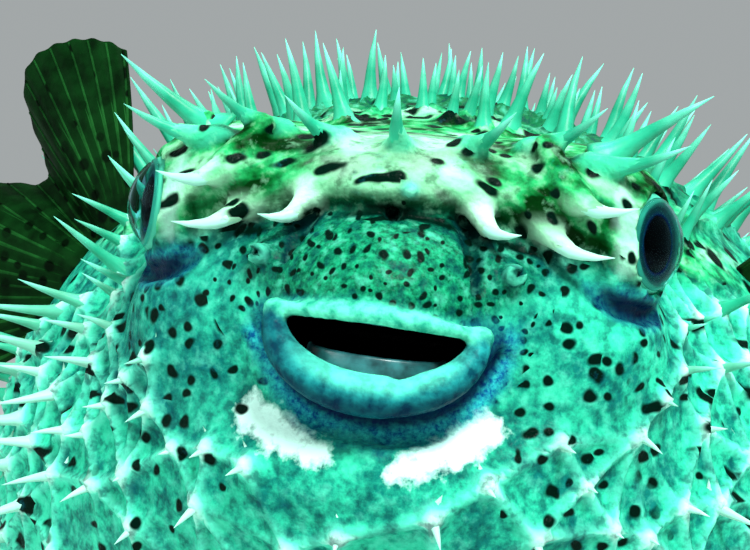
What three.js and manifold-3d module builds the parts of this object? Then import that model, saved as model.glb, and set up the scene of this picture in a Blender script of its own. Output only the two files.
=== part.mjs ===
// A life-size porcupinefish (Diodon hystrix), puffed up, on a museum stand.
//
// Frame: millimetres, +Z up, the face looks along -Y, the animal's left side is +X,
// and the origin is the centre of the stand's underside.
// The soft body is one rounded form: lobes that melt into each other. It is parted into
// head, trunk and tail stalk by thin flat cuts, and each spine is joined to the part it grows from.

import * as THREE from "three";
import { mergeVertices } from "three/addons/utils/BufferGeometryUtils.js";
import Module from "manifold-3d";

const wasm = await Module();
wasm.setup();

// ---- Driving dimensions, mm -------------------------------------------------------------

const GAP = 0.35; // clearance between pieces that touch
const TRUNK_HEIGHT = 215; // middle of the inflated trunk
const EYE = { spread: 61, depth: -143, height: 310, radius: 16 };
const GAZE = new THREE.Vector3(0.93, -0.36, 0.08).normalize(); // the way that the left eye looks
const MOUTH = new THREE.Vector3(0, -194, 281); // middle of the opening
const MOUTH_HALF_WIDTH = 25;
const MOUTH_TILT = THREE.MathUtils.degToRad(3); // its left corner hangs lower
const STALK = { start: 112, cut: 170, end: 212, height: 272 };
const BASE = { radius: 105, thickness: 12, bevel: 3 };
const ROD = { radius: 5, length: 150, front: -42, rear: 42 };
const SPINE_COUNT = 480; // places on the whole body, before the bare ones are left out

const SIDES = { left: 1, right: -1 };
const DEPTH_AXIS = new THREE.Vector3(0, 1, 0); // from face to tail

// The lobes of the soft body: middle, half sizes, and how widely each melts into those above it.
// A lobe off the middle plane stands for the pair.
const LOBES = [
  { at: [0, -8, TRUNK_HEIGHT], half: [147, 158, 135], melt: 0 }, // trunk
  { at: [0, -100, 298], half: [58, 52, 39], melt: 28 }, // skull
  { at: [0, -112, 240], half: [68, 69, 46], melt: 40 }, // throat
  { at: [44, -132, 278], half: [30, 36, 28], melt: 20 }, // cheek
  { at: [26, -134, 291], half: [32, 38, 24], melt: 14 }, // side of the muzzle
  { at: [0, -154, 290], half: [33, 40, 27], melt: 14 }, // snout
  { at: [0, -158, 274], half: [32, 34, 16], melt: 10 }, // jaw
  { at: [0, -150, 246], half: [44, 37, 12], melt: 20 }, // roll under the chin
  { at: [0, -125, 321], half: [46, 50, 15], melt: 4 }, // middle of the brow
  { at: [39, -120, 320], half: [34, 46, 17], melt: 7 }, // side of the brow
  { at: [52, -138, 309], half: [17, 21, 21], melt: 8 }, // eye turret
  { at: [52, -141, 285], half: [18, 20, 14], melt: 8 }, // pouch under the eye
  { at: [0, 138, 270], half: [24, 44, 30], melt: 36 }, // root of the tail
];

// ---- The rounded body -------------------------------------------------------------------

// About how far a point is outside an ellipsoid, negative inside.
function ellipsoidDistance(x, y, z, half) {
  const [a, b, c] = half;
  const scaled = Math.hypot(x / a, y / b, z / c);
  const slope = Math.hypot(x / (a * a), y / (b * b), z / (c * c));
  return slope > 1e-9 ? (scaled * (scaled - 1)) / slope : -Math.min(a, b, c);
}

// The smaller of two distances, rounded off where they are closer than `melt`.
function meltedMin(a, b, melt) {
  if (melt <= 0) return Math.min(a, b);
  const share = Math.max(melt - Math.abs(a - b), 0) / melt;
  return Math.min(a, b) - (share * share * melt) / 4;
}

// How far a point is outside the skin, negative inside.
function skinDistance(p) {
  let distance = Infinity;
  for (const { at, half, melt } of LOBES) {
    const lobe = ellipsoidDistance(Math.abs(p.x) - at[0], p.y - at[1], p.z - at[2], half);
    distance = distance === Infinity ? lobe : meltedMin(distance, lobe, melt);
  }
  return distance;
}

// The outward direction of the skin at a point.
function skinNormal(p) {
  const step = 0.5;
  const slope = (axis) => {
    const ahead = p.clone().addScaledVector(axis, step);
    const behind = p.clone().addScaledVector(axis, -step);
    return skinDistance(ahead) - skinDistance(behind);
  };
  return new THREE.Vector3(
    slope(new THREE.Vector3(1, 0, 0)),
    slope(new THREE.Vector3(0, 1, 0)),
    slope(new THREE.Vector3(0, 0, 1)),
  ).normalize();
}

// The outermost point of the skin, grown by `grow`, on a ray that leaves `from`.
function skinPoint(from, direction, grow = 0) {
  const caution = 0.8; // the distances are estimates, so each step is held short
  let reach = 420;
  const p = new THREE.Vector3();
  for (let i = 0; i < 120; i++) {
    p.copy(from).addScaledVector(direction, reach);
    const gap = skinDistance(p) - grow;
    if (gap < 0.005) break;
    reach -= gap * caution;
  }
  return p;
}

// ---- Meshes and solids ------------------------------------------------------------------

function solidFrom(geometry) {
  const bare = geometry.index ? geometry.toNonIndexed() : geometry.clone();
  bare.deleteAttribute("normal");
  bare.deleteAttribute("uv");
  const merged = mergeVertices(bare, 1e-3);
  return new wasm.Manifold(
    new wasm.Mesh({
      numProp: 3,
      vertProperties: merged.attributes.position.array,
      triVerts: new Uint32Array(merged.index.array),
    }),
  );
}

function geometryFrom(solid) {
  const mesh = solid.getMesh();
  const positions = new Float32Array(mesh.numVert * 3);
  for (let i = 0; i < mesh.numVert; i++) {
    positions.set(mesh.vertProperties.subarray(i * mesh.numProp, i * mesh.numProp + 3), i * 3);
  }
  const geometry = new THREE.BufferGeometry();
  geometry.setAttribute("position", new THREE.BufferAttribute(positions, 3));
  geometry.setIndex(new THREE.BufferAttribute(mesh.triVerts, 1));
  geometry.computeVertexNormals();
  return geometry;
}

// A closed solid through rings of points, with a point in the middle of each end ring.
function loftedSolid(rings) {
  const count = rings[0].length;
  const middle = (ring) =>
    ring.reduce((sum, p) => sum.add(p), new THREE.Vector3()).divideScalar(count);
  const points = [...rings.flat(), middle(rings[0]), middle(rings.at(-1))];
  const first = points.length - 2;
  const last = points.length - 1;
  const faces = [];
  for (let i = 0; i < count; i++) {
    const next = (i + 1) % count;
    faces.push(first, next, i);
    const end = (rings.length - 1) * count;
    faces.push(last, end + i, end + next);
    for (let r = 0; r + 1 < rings.length; r++) {
      const a = r * count;
      const b = a + count;
      faces.push(a + i, a + next, b + next, a + i, b + next, b + i);
    }
  }
  const geometry = new THREE.BufferGeometry().setFromPoints(points);
  geometry.setIndex(faces);
  const solid = solidFrom(geometry);
  if (solid.volume() >= 0) return solid;
  geometry.setIndex(faces.toReversed());
  return solidFrom(geometry);
}

// What is left of a cut solid, without its small offcuts.
function largestBody(solid) {
  return solid.decompose().reduce((a, b) => (a.volume() > b.volume() ? a : b));
}

// A ball, stretched to half sizes `half`, about `at`.
function ellipsoidSolid(at, half, across = 16, down = 10) {
  const geometry = new THREE.SphereGeometry(1, across, down);
  return solidFrom(geometry.scale(...half).translate(...at));
}

// How the skin is faceted: an icosahedron's detail, and the pull of its rays towards the face.
const FINE = { detail: 10, pull: new THREE.Vector3(0, -0.6, 0.22) };
const COARSE = { detail: 6, pull: new THREE.Vector3(0, -0.1, 0) };

// The body without stalk or spines, grown by `grow`.
function skinGeometry({ detail, pull }, grow = 0) {
  const heart = new THREE.Vector3(0, -35, 250);
  const geometry = new THREE.IcosahedronGeometry(1, detail);
  const corners = geometry.attributes.position;
  const direction = new THREE.Vector3();
  for (let i = 0; i < corners.count; i++) {
    direction.fromBufferAttribute(corners, i).normalize().add(pull).normalize();
    const p = skinPoint(heart, direction, grow);
    corners.setXYZ(i, p.x, p.y, p.z);
  }
  return geometry;
}

// The middle of each facet of a skin.
function facetMiddles(geometry) {
  const corners = geometry.attributes.position;
  const middles = [];
  for (let i = 0; i < corners.count; i += 3) {
    const middle = new THREE.Vector3();
    for (let k = 0; k < 3; k++) {
      middle.add(new THREE.Vector3().fromBufferAttribute(corners, i + k));
    }
    middles.push(middle.divideScalar(3));
  }
  return middles;
}

// ---- Tail stalk -------------------------------------------------------------------------

// Half width and half height of the stalk at depth y: a slender oval that widens forwards.
function stalkHalfSizes(y) {
  const along = THREE.MathUtils.clamp((y - STALK.start) / (STALK.end - STALK.start), 0, 1);
  const flare = (1 - along) ** 1.5;
  return { wide: 9 + 12 * flare, high: 16 + 12 * flare };
}

// The point of the stalk's skin at depth y, turned by `turn` from the left side up.
function stalkPoint(y, turn, grow = 0) {
  const { wide, high } = stalkHalfSizes(y);
  return new THREE.Vector3(
    (wide + grow) * Math.cos(turn),
    y,
    STALK.height + (high + grow) * Math.sin(turn),
  );
}

function stalkSolid(grow = 0) {
  const rings = [];
  const around = 14;
  const steps = 9;
  for (let step = 0; step <= steps; step++) {
    const y = THREE.MathUtils.lerp(STALK.start, STALK.end + grow, step / steps);
    const ring = [];
    for (let i = 0; i < around; i++) ring.push(stalkPoint(y, (2 * Math.PI * i) / around, grow));
    rings.push(ring);
  }
  return loftedSolid(rings);
}

// ---- Parting the body -------------------------------------------------------------------

// The cut between head and trunk runs from the nape to the throat.
const NAPE = new THREE.Vector3(0, -62, 345);
const FORWARD = new THREE.Vector3(0, -113, 108).normalize();

// How far a point lies ahead of the nape cut.
const aheadOfNape = (p) => p.clone().sub(NAPE).dot(FORWARD);

// A huge block whose back face is the nape cut, moved forward by `shift`.
function aheadBlock(shift) {
  const size = 700;
  const block = new THREE.BoxGeometry(size, size, size).translate(0, 0, size / 2);
  block.applyQuaternion(
    new THREE.Quaternion().setFromUnitVectors(new THREE.Vector3(0, 0, 1), FORWARD),
  );
  const corner = NAPE.clone().addScaledVector(FORWARD, shift);
  return solidFrom(block.translate(corner.x, corner.y, corner.z));
}

// A huge block of everything behind depth y.
function behindBlock(y) {
  const size = 700;
  return solidFrom(new THREE.BoxGeometry(size, size, size).translate(0, y + size / 2, 200));
}

// ---- Mouth and eyes ---------------------------------------------------------------------

// A point beside the middle of the mouth, turned with the mouth's tilt.
function mouthPoint(x, y, z) {
  return new THREE.Vector3(x, y, z).applyAxisAngle(DEPTH_AXIS, MOUTH_TILT).add(MOUTH);
}

// A lip is a rounded roll along a curve, thinner at its ends. u runs -1 to 1 from corner to corner.
function lipSolid(curve, thickness, grow = 0) {
  const rings = [];
  const steps = 8;
  const around = 7;
  for (let i = 0; i <= steps; i++) {
    const u = -1 + (2 * i) / steps;
    const middle = curve(u);
    const along = curve(u + 0.01).sub(curve(u - 0.01)).normalize();
    const side = new THREE.Vector3().crossVectors(along, DEPTH_AXIS).normalize();
    const front = new THREE.Vector3().crossVectors(side, along).normalize();
    const radius = thickness(u) + grow;
    const ring = [];
    for (let k = 0; k < around; k++) {
      const turn = (2 * Math.PI * k) / around;
      const p = middle.clone();
      p.addScaledVector(side, radius * Math.cos(turn));
      p.addScaledVector(front, radius * 0.9 * Math.sin(turn));
      ring.push(p);
    }
    rings.push(ring);
  }
  return loftedSolid(rings);
}

// The upper lip is a thin, nearly straight roll, and the lower lip hangs below it in a pout.
const upperLipCurve = (u) =>
  mouthPoint((MOUTH_HALF_WIDTH + 1.5) * u, -0.5 + 10 * u * u, 8 - 2.2 * u * u);

const lowerLipCurve = (u) => {
  const sweep = (Math.PI / 2) * u;
  const across = (MOUTH_HALF_WIDTH + 1.2) * Math.sin(sweep);
  return mouthPoint(across, 1 + 8 * u * u, 4.8 - 16.6 * Math.cos(sweep));
};

const upperLip = (grow = 0) => lipSolid(upperLipCurve, (u) => 2.1 - 0.5 * u * u, grow);
const lowerLip = (grow = 0) => lipSolid(lowerLipCurve, (u) => 5.3 - 2.7 * u * u, grow);

// A beak plate: a horseshoe of bare tooth, bow forward, between two heights above the
// middle of the mouth.
function beakPlate(low, high, grow = 0) {
  const outer = new THREE.Shape();
  const half = MOUTH_HALF_WIDTH - 6 + grow;
  const bow = 15 + grow;
  const thick = 3.4 + 2 * grow;
  outer.absellipse(0, 0, half, bow, Math.PI, 2 * Math.PI, false);
  outer.lineTo(half - thick, 0);
  outer.absellipse(0, 0, half - thick, bow - thick, 2 * Math.PI, Math.PI, true);
  outer.closePath();
  const plate = new THREE.ExtrudeGeometry(outer, {
    depth: high - low + 2 * grow,
    bevelEnabled: false,
    curveSegments: 6,
  });
  plate.translate(0, 17, low - grow).rotateY(MOUTH_TILT);
  return solidFrom(plate.translate(MOUTH.x, MOUTH.y, MOUTH.z));
}

const lowerBeak = (grow = 0) => beakPlate(-12, -2.2, grow);
const upperBeak = (grow = 0) => beakPlate(5.4, 12.4, grow);

// The nostril is a small fleshy knob between snout and eye.
function nostril(side, grow = 0) {
  const level = new THREE.Vector3(side * 32, -60, 301);
  const root = skinPoint(level, new THREE.Vector3(0, -1, 0));
  return ellipsoidSolid([root.x, root.y - 0.6, root.z], [3.4 + grow, 2.8 + grow, 2.8 + grow], 8, 6);
}

const eyeMiddle = (side) => new THREE.Vector3(side * EYE.spread, EYE.depth, EYE.height);

function eyeball(side, grow = 0) {
  const radius = EYE.radius + grow;
  return ellipsoidSolid(eyeMiddle(side).toArray(), [radius, radius, radius], 14, 8);
}

// The hollow in the skin that bares the front of an eye, rimmed like a lid.
function eyeOpening(side) {
  const gaze = new THREE.Vector3(side * GAZE.x, GAZE.y, GAZE.z);
  const middle = eyeMiddle(side).addScaledVector(gaze, EYE.radius);
  const radius = EYE.radius - 0.5;
  return ellipsoidSolid(middle.toArray(), [radius, radius, radius], 16, 10);
}

// ---- Fins -------------------------------------------------------------------------------

// A fin is a thin plate of rays that fan from a root line. s runs across the fin and t out along
// a ray; `ray(s)` gives its root, its direction, its length and the way that its tip bows.
function finSolid(ray) {
  const across = 10;
  const out = 3;
  const surface = (s, t) => {
    const { root, direction, length, bow } = ray(s);
    return root
      .clone()
      .addScaledVector(direction, length * t)
      .addScaledVector(bow, t * t);
  };
  const rings = [];
  for (let i = 0; i <= across; i++) {
    const s = i / across;
    const front = [];
    const back = [];
    for (let j = 0; j <= out; j++) {
      const t = j / out;
      const here = surface(s, t);
      const over = surface(Math.min(s + 0.02, 1), t).sub(surface(Math.max(s - 0.02, 0), t));
      const along = surface(s, Math.min(t + 0.02, 1)).sub(surface(s, Math.max(t - 0.02, 0)));
      const normal = over.cross(along).normalize();
      const half = THREE.MathUtils.lerp(1.5, 0.7, t);
      front.push(here.clone().addScaledVector(normal, half));
      back.push(here.clone().addScaledVector(normal, -half));
    }
    rings.push([...front, ...back.toReversed()]);
  }
  return loftedSolid(rings);
}

// A fin in the middle plane, its rays turning from one slope to another, in degrees above +Y.
function medianFin({ rootFrom, rootTo, slopeFrom, slopeTo, longest, roundness, sway }) {
  return finSolid((s) => {
    const slope = THREE.MathUtils.degToRad(THREE.MathUtils.lerp(slopeFrom, slopeTo, s));
    return {
      root: new THREE.Vector3(0, ...rootFrom).lerp(new THREE.Vector3(0, ...rootTo), s),
      direction: new THREE.Vector3(0, Math.cos(slope), Math.sin(slope)),
      length: longest * (1 - roundness * Math.abs(2 * s - 1) ** 2.5),
      bow: new THREE.Vector3(sway, 0, 0),
    };
  });
}

// A pectoral fin: a broad fan behind the gill, in two lobes with a notch between them.
// Its rays turn from `upper` to `lower` degrees above the horizontal. `sweep` turns them back,
// and `fold` turns the ones at the notch back further.
function pectoralFin(side, { upper, lower, sweep, fold }) {
  const rootTop = new THREE.Vector3(side * 98, -64, 300);
  const rootFoot = new THREE.Vector3(side * 116, -52, 266);
  return finSolid((s) => {
    const slope = THREE.MathUtils.degToRad(THREE.MathUtils.lerp(upper, lower, s));
    const notch = Math.exp(-(((s - 0.4) / 0.1) ** 2));
    const back = sweep + fold * notch;
    return {
      root: rootTop.clone().lerp(rootFoot, s),
      direction: new THREE.Vector3(side * Math.cos(slope), back, Math.sin(slope)).normalize(),
      length: 80 * (1 - 0.28 * notch - 0.3 * (s - 0.3) ** 2 - 0.2 * (1 - s) ** 8),
      bow: new THREE.Vector3(side * 6, 6, 0),
    };
  });
}

// The right pectoral fin is raised in mid stroke, and the left one is swept low.
const PECTORAL_POSES = {
  left: { upper: 38, lower: -48, sweep: 0.75, fold: 0.3 },
  right: { upper: 84, lower: -34, sweep: 0.3, fold: 0.6 },
};

const MEDIAN_FINS = {
  dorsal_fin: {
    rootFrom: [110, 292],
    rootTo: [152, 280],
    slopeFrom: 78,
    slopeTo: 22,
    longest: 72,
    roundness: 0.3,
    sway: 5,
  },
  anal_fin: {
    rootFrom: [124, 252],
    rootTo: [158, 263],
    slopeFrom: -74,
    slopeTo: -24,
    longest: 62,
    roundness: 0.3,
    sway: -4,
  },
  caudal_fin: {
    rootFrom: [STALK.end - 6, STALK.height + 14],
    rootTo: [STALK.end - 6, STALK.height - 14],
    slopeFrom: 30,
    slopeTo: -30,
    longest: 78,
    roundness: 0.26,
    sway: 10,
  },
};

function allFins() {
  const fins = {};
  for (const [name, side] of Object.entries(SIDES)) {
    fins["pectoral_fin_" + name] = pectoralFin(side, PECTORAL_POSES[name]);
  }
  for (const [name, shape] of Object.entries(MEDIAN_FINS)) {
    fins[name] = medianFin(shape);
  }
  return fins;
}

// ---- Spines -----------------------------------------------------------------------------

// A slim three-sided spine from just under the skin to its tip.
function spineSolid({ root, direction, length, radius }) {
  const sunk = 2.5;
  const cone = new THREE.ConeGeometry(radius, length + sunk, 3, 1);
  cone.translate(0, (length + sunk) / 2 - sunk, 0);
  const turn = new THREE.Quaternion().setFromUnitVectors(new THREE.Vector3(0, 1, 0), direction);
  cone.applyQuaternion(turn);
  cone.translate(root.x, root.y, root.z);
  return solidFrom(cone);
}

// Spines grow longer from the belly up to the back and behind the pectoral fins. They are
// shorter on the crown, and short thorns under the chin.
function spineLength(root) {
  const up = THREE.MathUtils.smoothstep(root.z, 150, 330);
  const behindChin = THREE.MathUtils.smoothstep(root.y, -150, -95);
  const outwards = THREE.MathUtils.smoothstep(Math.abs(root.x), 60, 120);
  const onFlank = outwards * Math.exp(-(((root.y - 10) / 60) ** 2));
  const crown = Math.exp(-((root.x / 42) ** 2)) * THREE.MathUtils.smoothstep(60 - root.y, 0, 80) * up;
  const ahead = root.z < 290 ? 11 : 26;
  return THREE.MathUtils.lerp(ahead, 20 + 12 * up + 8 * onFlank * up - 11 * crown, behindChin);
}

// Brow spines, one row of numbers a pair: root's distance from the middle plane and height,
// then how far the tip stands sideways, ahead and up from it.
const BROW_SPINES = [
  { side: 0, height: 331, tip: [0, -13, 15] },
  { side: 22, height: 317, tip: [12, -9, -6] },
  { side: 39, height: 314, tip: [19, -7, -7] },
  { side: 46, height: 323, tip: [17, -6, -3] },
  { side: 17, height: 332, tip: [13, -17, 10] },
  { side: 34, height: 333, tip: [19, -14, 12] },
  { side: 50, height: 330, tip: [25, -8, 7] },
  { side: 36, height: 338, tip: [16, -8, 27] },
  { side: 56, height: 333, tip: [25, -5, 18] },
  { side: 12, height: 343, tip: [1, -10, 25] },
  { side: 27, height: 342, tip: [5, -8, 25] },
  { side: 46, height: 341, tip: [12, -6, 27] },
];

function browSpines() {
  const forward = new THREE.Vector3(0, -1, 0);
  const spines = [];
  for (const { side, height, tip } of BROW_SPINES) {
    for (const sign of side === 0 ? [1] : [1, -1]) {
      const root = skinPoint(new THREE.Vector3(sign * side, -60, height), forward);
      const reach = new THREE.Vector3(sign * tip[0], tip[1], tip[2]);
      const length = reach.length();
      spines.push({ root, direction: reach.normalize(), length, radius: 2.9 });
    }
  }
  return spines;
}

// Where no scattered spine grows: the face, the brow with its own rows, round the eyes,
// at the fin roots, on the stalk's flare and where the rods stand.
function isBare(root) {
  const mirrored = new THREE.Vector3(Math.abs(root.x), root.y, root.z);
  const near = (x, y, z, radius) => mirrored.distanceTo(new THREE.Vector3(x, y, z)) < radius;
  const onRod = [ROD.front, ROD.rear].some((depth) => Math.hypot(root.x, root.y - depth) < 14);
  return (
    near(0, MOUTH.y, MOUTH.z + 8, 50) ||
    near(EYE.spread + 8, EYE.depth, EYE.height, 27) ||
    near(34, -168, 288, 30) ||
    (root.y < -106 && root.z > 314) ||
    near(112, -54, 282, 19) ||
    near(102, -60, 296, 15) ||
    root.y > 134 ||
    (Math.abs(root.x) < 7 && root.y > 90) ||
    (onRod && root.z < TRUNK_HEIGHT)
  );
}

// Evenly spaced places all over the body, on a golden-angle spiral from face to tail, each on
// the middle of the nearest facet of the skin that is still free.
function scatteredSpines(facets) {
  const goldenAngle = Math.PI * (3 - Math.sqrt(5));
  const middle = new THREE.Vector3(0, 0, TRUNK_HEIGHT);
  const free = new Set(facets);
  const spines = [];
  for (let i = 0; i < SPINE_COUNT; i++) {
    const along = 1 - (2 * i + 1) / SPINE_COUNT;
    const out = Math.sqrt(1 - along * along);
    const turn = i * goldenAngle;
    const outward = new THREE.Vector3(out * Math.cos(turn), -along, out * Math.sin(turn));
    const place = skinPoint(middle, outward);
    let root = null;
    for (const facet of free) {
      if (!root || facet.distanceToSquared(place) < root.distanceToSquared(place)) root = facet;
    }
    free.delete(root);
    if (isBare(root)) continue;
    // Every spine leans towards the tail, each in its own way, and those under the face droop.
    const droop = root.y < -70 && root.z < 275 ? 0.3 : 0;
    const lean = new THREE.Vector3(0.18 * Math.sin(2.3 * i), 0.16, 0.13 * Math.sin(3.7 * i) - droop);
    const length = spineLength(root) * (1 + 0.12 * Math.sin(5.1 * i));
    const direction = skinNormal(root).add(lean).normalize();
    spines.push({ root, direction, length, radius: 1.6 + length / 26 });
  }
  return spines;
}

// Rings of spines on the stalk.
function stalkSpines() {
  const spines = [];
  for (const { y, count } of [{ y: 179, count: 7 }, { y: 194, count: 6 }]) {
    for (let i = 0; i < count; i++) {
      const turn = (2 * Math.PI * (i + 0.5)) / count - Math.PI / 2;
      const direction = new THREE.Vector3(Math.cos(turn), 0.45, Math.sin(turn)).normalize();
      spines.push({ root: stalkPoint(y, turn), direction, length: 13, radius: 1.9 });
    }
  }
  return spines;
}

const withSpines = (solid, spines) => wasm.Manifold.union([solid, ...spines.map(spineSolid)]);

// ---- Assembly ---------------------------------------------------------------------------

const FINISHES = {
  skin: { color: 0x8fe0c4, roughness: 0.45, metalness: 0 },
  lip: { color: 0x3f9f9c, roughness: 0.4, metalness: 0 },
  beak: { color: 0x8fb9b4, roughness: 0.35, metalness: 0 },
  fin: { color: 0x4d6a24, roughness: 0.5, metalness: 0 },
  eye: { color: 0x0b1430, roughness: 0.1, metalness: 0 },
  stand_base: { color: 0x2b2b2d, roughness: 0.4, metalness: 0 },
  stand_rod: { color: 0xb9bcc0, roughness: 0.3, metalness: 1 },
};

const fish = new THREE.Group();

function addPiece(name, finish, solid) {
  const material = new THREE.MeshStandardMaterial(FINISHES[finish]);
  const mesh = new THREE.Mesh(geometryFrom(solid), material);
  mesh.name = name;
  fish.add(mesh);
}

const sides = Object.values(SIDES);
const fins = allFins();

// The spines of the head and of the trunk, clear of the nape cut, fins, eyes and lips.
const obstacles = wasm.Manifold.union([
  ...Object.values(fins),
  upperLip(3),
  lowerLip(3),
  ...sides.map((side) => eyeball(side, 2)),
]);
const isClear = (spine) => spineSolid(spine).intersect(obstacles).isEmpty();
const fineSkin = skinGeometry(FINE);
const coarseSkin = skinGeometry(COARSE);
const edge = 4; // spines keep this far from the nape cut, root and tip
const tipOf = ({ root, direction, length }) => root.clone().addScaledVector(direction, length);
const headFacets = facetMiddles(fineSkin).filter((p) => aheadOfNape(p) > edge);
const trunkFacets = facetMiddles(coarseSkin).filter((p) => aheadOfNape(p) < -edge);
const scattered = scatteredSpines([...headFacets, ...trunkFacets]);
const spines = [...scattered, ...browSpines()].filter(isClear);
const ends = (spine) => [aheadOfNape(spine.root), aheadOfNape(tipOf(spine))];
const headSpines = spines.filter((spine) => Math.min(...ends(spine)) > edge);
const trunkSpines = spines.filter((spine) => Math.max(...ends(spine)) < -edge);

// The head, with its mouth pocket and the seats of lips, beak, eyes and nostrils.
const mouthPocket = ellipsoidSolid([0, 8, -0.2], [MOUTH_HALF_WIDTH, 26, 8.5])
  .rotate([0, THREE.MathUtils.radToDeg(MOUTH_TILT), 0])
  .translate(MOUTH.toArray());
const headSeats = wasm.Manifold.union([
  mouthPocket,
  upperLip(GAP),
  lowerLip(GAP),
  upperBeak(GAP),
  lowerBeak(GAP),
  ...sides.flatMap((side) => [eyeball(side, GAP), eyeOpening(side), nostril(side, GAP)]),
]);
const headBody = solidFrom(fineSkin).intersect(aheadBlock(GAP / 2));
addPiece("head", "skin", withSpines(headBody, headSpines).subtract(headSeats));

const rearBody = solidFrom(coarseSkin).add(stalkSolid()).subtract(aheadBlock(-GAP / 2));
const trunkBody = rearBody.subtract(behindBlock(STALK.cut - GAP / 2));
const stalkBody = rearBody.intersect(behindBlock(STALK.cut + GAP / 2));
addPiece("trunk", "skin", withSpines(trunkBody, trunkSpines));
addPiece("tail_stalk", "skin", withSpines(stalkBody, stalkSpines().filter(isClear)));

addPiece("upper_lip", "lip", upperLip());
addPiece("lower_lip", "lip", lowerLip().subtract(upperLip(GAP)));
addPiece("beak_upper", "beak", upperBeak().subtract(upperLip(GAP)));
addPiece("beak_lower", "beak", lowerBeak().subtract(lowerLip(GAP)));
for (const [name, side] of Object.entries(SIDES)) {
  addPiece("eye_" + name, "eye", eyeball(side));
  addPiece("nostril_" + name, "skin", nostril(side));
}

// What fins and rods are cut back by: both skins, grown by the gap, with the stalk.
const bodyCutter = wasm.Manifold.union([
  solidFrom(skinGeometry(FINE, GAP)),
  solidFrom(skinGeometry(COARSE, GAP)),
  stalkSolid(GAP),
]);
for (const [name, fin] of Object.entries(fins)) {
  addPiece(name, "fin", largestBody(fin.subtract(bodyCutter)));
}

// ---- Stand ------------------------------------------------------------------------------

function rodSolid(depth) {
  const rod = new THREE.CylinderGeometry(ROD.radius, ROD.radius, ROD.length, 16);
  rod.rotateX(Math.PI / 2);
  rod.translate(0, depth, BASE.thickness + GAP + ROD.length / 2);
  return solidFrom(rod).subtract(bodyCutter);
}

const baseProfile = [
  [0, 0],
  [BASE.radius, 0],
  [BASE.radius, BASE.thickness - BASE.bevel],
  [BASE.radius - BASE.bevel, BASE.thickness],
  [0, BASE.thickness],
].map(([radius, height]) => new THREE.Vector2(radius, height));
const baseDisc = new THREE.LatheGeometry(baseProfile, 32).rotateX(Math.PI / 2);
addPiece("stand_base", "stand_base", solidFrom(baseDisc));
addPiece("stand_rod_front", "stand_rod", rodSolid(ROD.front));
addPiece("stand_rod_rear", "stand_rod", rodSolid(ROD.rear));

export default fish;
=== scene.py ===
"""A life-size porcupinefish, puffed up, on a museum stand: skin, spines, eyes, beak, fins and stand.

Shapes are worked out in millimetres, in the frame of the solids: +Z up, the face looks along -Y,
the animal's left side is +X, and the origin is the middle of the stand's underside.
"""

import math

import bpy
import numpy as np
import openvdb
from mathutils import Matrix, Vector
from mathutils.kdtree import KDTree


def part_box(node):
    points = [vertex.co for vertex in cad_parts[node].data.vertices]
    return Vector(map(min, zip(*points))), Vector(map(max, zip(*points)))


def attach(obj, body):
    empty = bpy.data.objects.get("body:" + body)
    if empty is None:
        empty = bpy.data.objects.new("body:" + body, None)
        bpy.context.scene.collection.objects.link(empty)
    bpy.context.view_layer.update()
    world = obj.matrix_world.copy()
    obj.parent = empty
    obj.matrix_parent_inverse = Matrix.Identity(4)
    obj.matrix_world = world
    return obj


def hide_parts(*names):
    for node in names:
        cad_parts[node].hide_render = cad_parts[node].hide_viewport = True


bl_info = {
    "name": "Porcupinefish Display Model",
    "version": (1, 0, 0),
    "blender": (4, 5, 0),
    "location": "View3D > Sidebar > Fish",
    "description": "Builds the skin, spines, eyes, beak, fins and stand of a life-size porcupinefish",
    "category": "Object",
}

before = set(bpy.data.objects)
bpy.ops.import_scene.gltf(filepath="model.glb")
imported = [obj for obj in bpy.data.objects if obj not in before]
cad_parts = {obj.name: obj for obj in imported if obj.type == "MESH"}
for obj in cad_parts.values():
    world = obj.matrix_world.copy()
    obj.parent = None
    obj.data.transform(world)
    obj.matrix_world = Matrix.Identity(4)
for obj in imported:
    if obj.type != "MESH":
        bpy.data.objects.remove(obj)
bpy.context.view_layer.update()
MM = 0.001  # metres in a millimetre


# ---- Colours and nodes --------------------------------------------------------------------


def linear(code):
    """An sRGB hex colour as the linear red, green, blue and alpha that Blender mixes."""
    channels = [int(code[i : i + 2], 16) / 255 for i in (1, 3, 5)]
    return (*(c / 12.92 if c <= 0.04045 else ((c + 0.055) / 1.055) ** 2.4 for c in channels), 1.0)


def add(tree, kind, inputs=None, **settings):
    """Adds a node with its settings, then sets or links its inputs."""
    node = tree.nodes.new(kind)
    for name, value in settings.items():
        setattr(node, name, value)
    for key, value in (inputs or {}).items():
        if isinstance(value, bpy.types.NodeSocket):
            tree.links.new(value, node.inputs[key])
        else:
            node.inputs[key].default_value = value
    return node


def new_material(name):
    """A material with an empty tree, that tree, and the place on the object for its patterns to read."""
    material = bpy.data.materials.new(name)
    material.use_nodes = True
    tree = material.node_tree
    tree.nodes.clear()
    return material, tree, add(tree, "ShaderNodeTexCoord").outputs["Object"]


def finished(material, inputs):
    """The material, with its tree ended in a shader that has these inputs set or linked."""
    shader = add(material.node_tree, "ShaderNodeBsdfPrincipled", inputs)
    add(material.node_tree, "ShaderNodeOutputMaterial", {"Surface": shader.outputs[0]})
    return material


def colour_setting(name, description, code):
    """A colour that a user can change, with its default in hex."""
    return bpy.props.FloatVectorProperty(
        name=name, description=description, size=4, subtype="COLOR", default=linear(code))


# ---- The rounded body ---------------------------------------------------------------------

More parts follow.
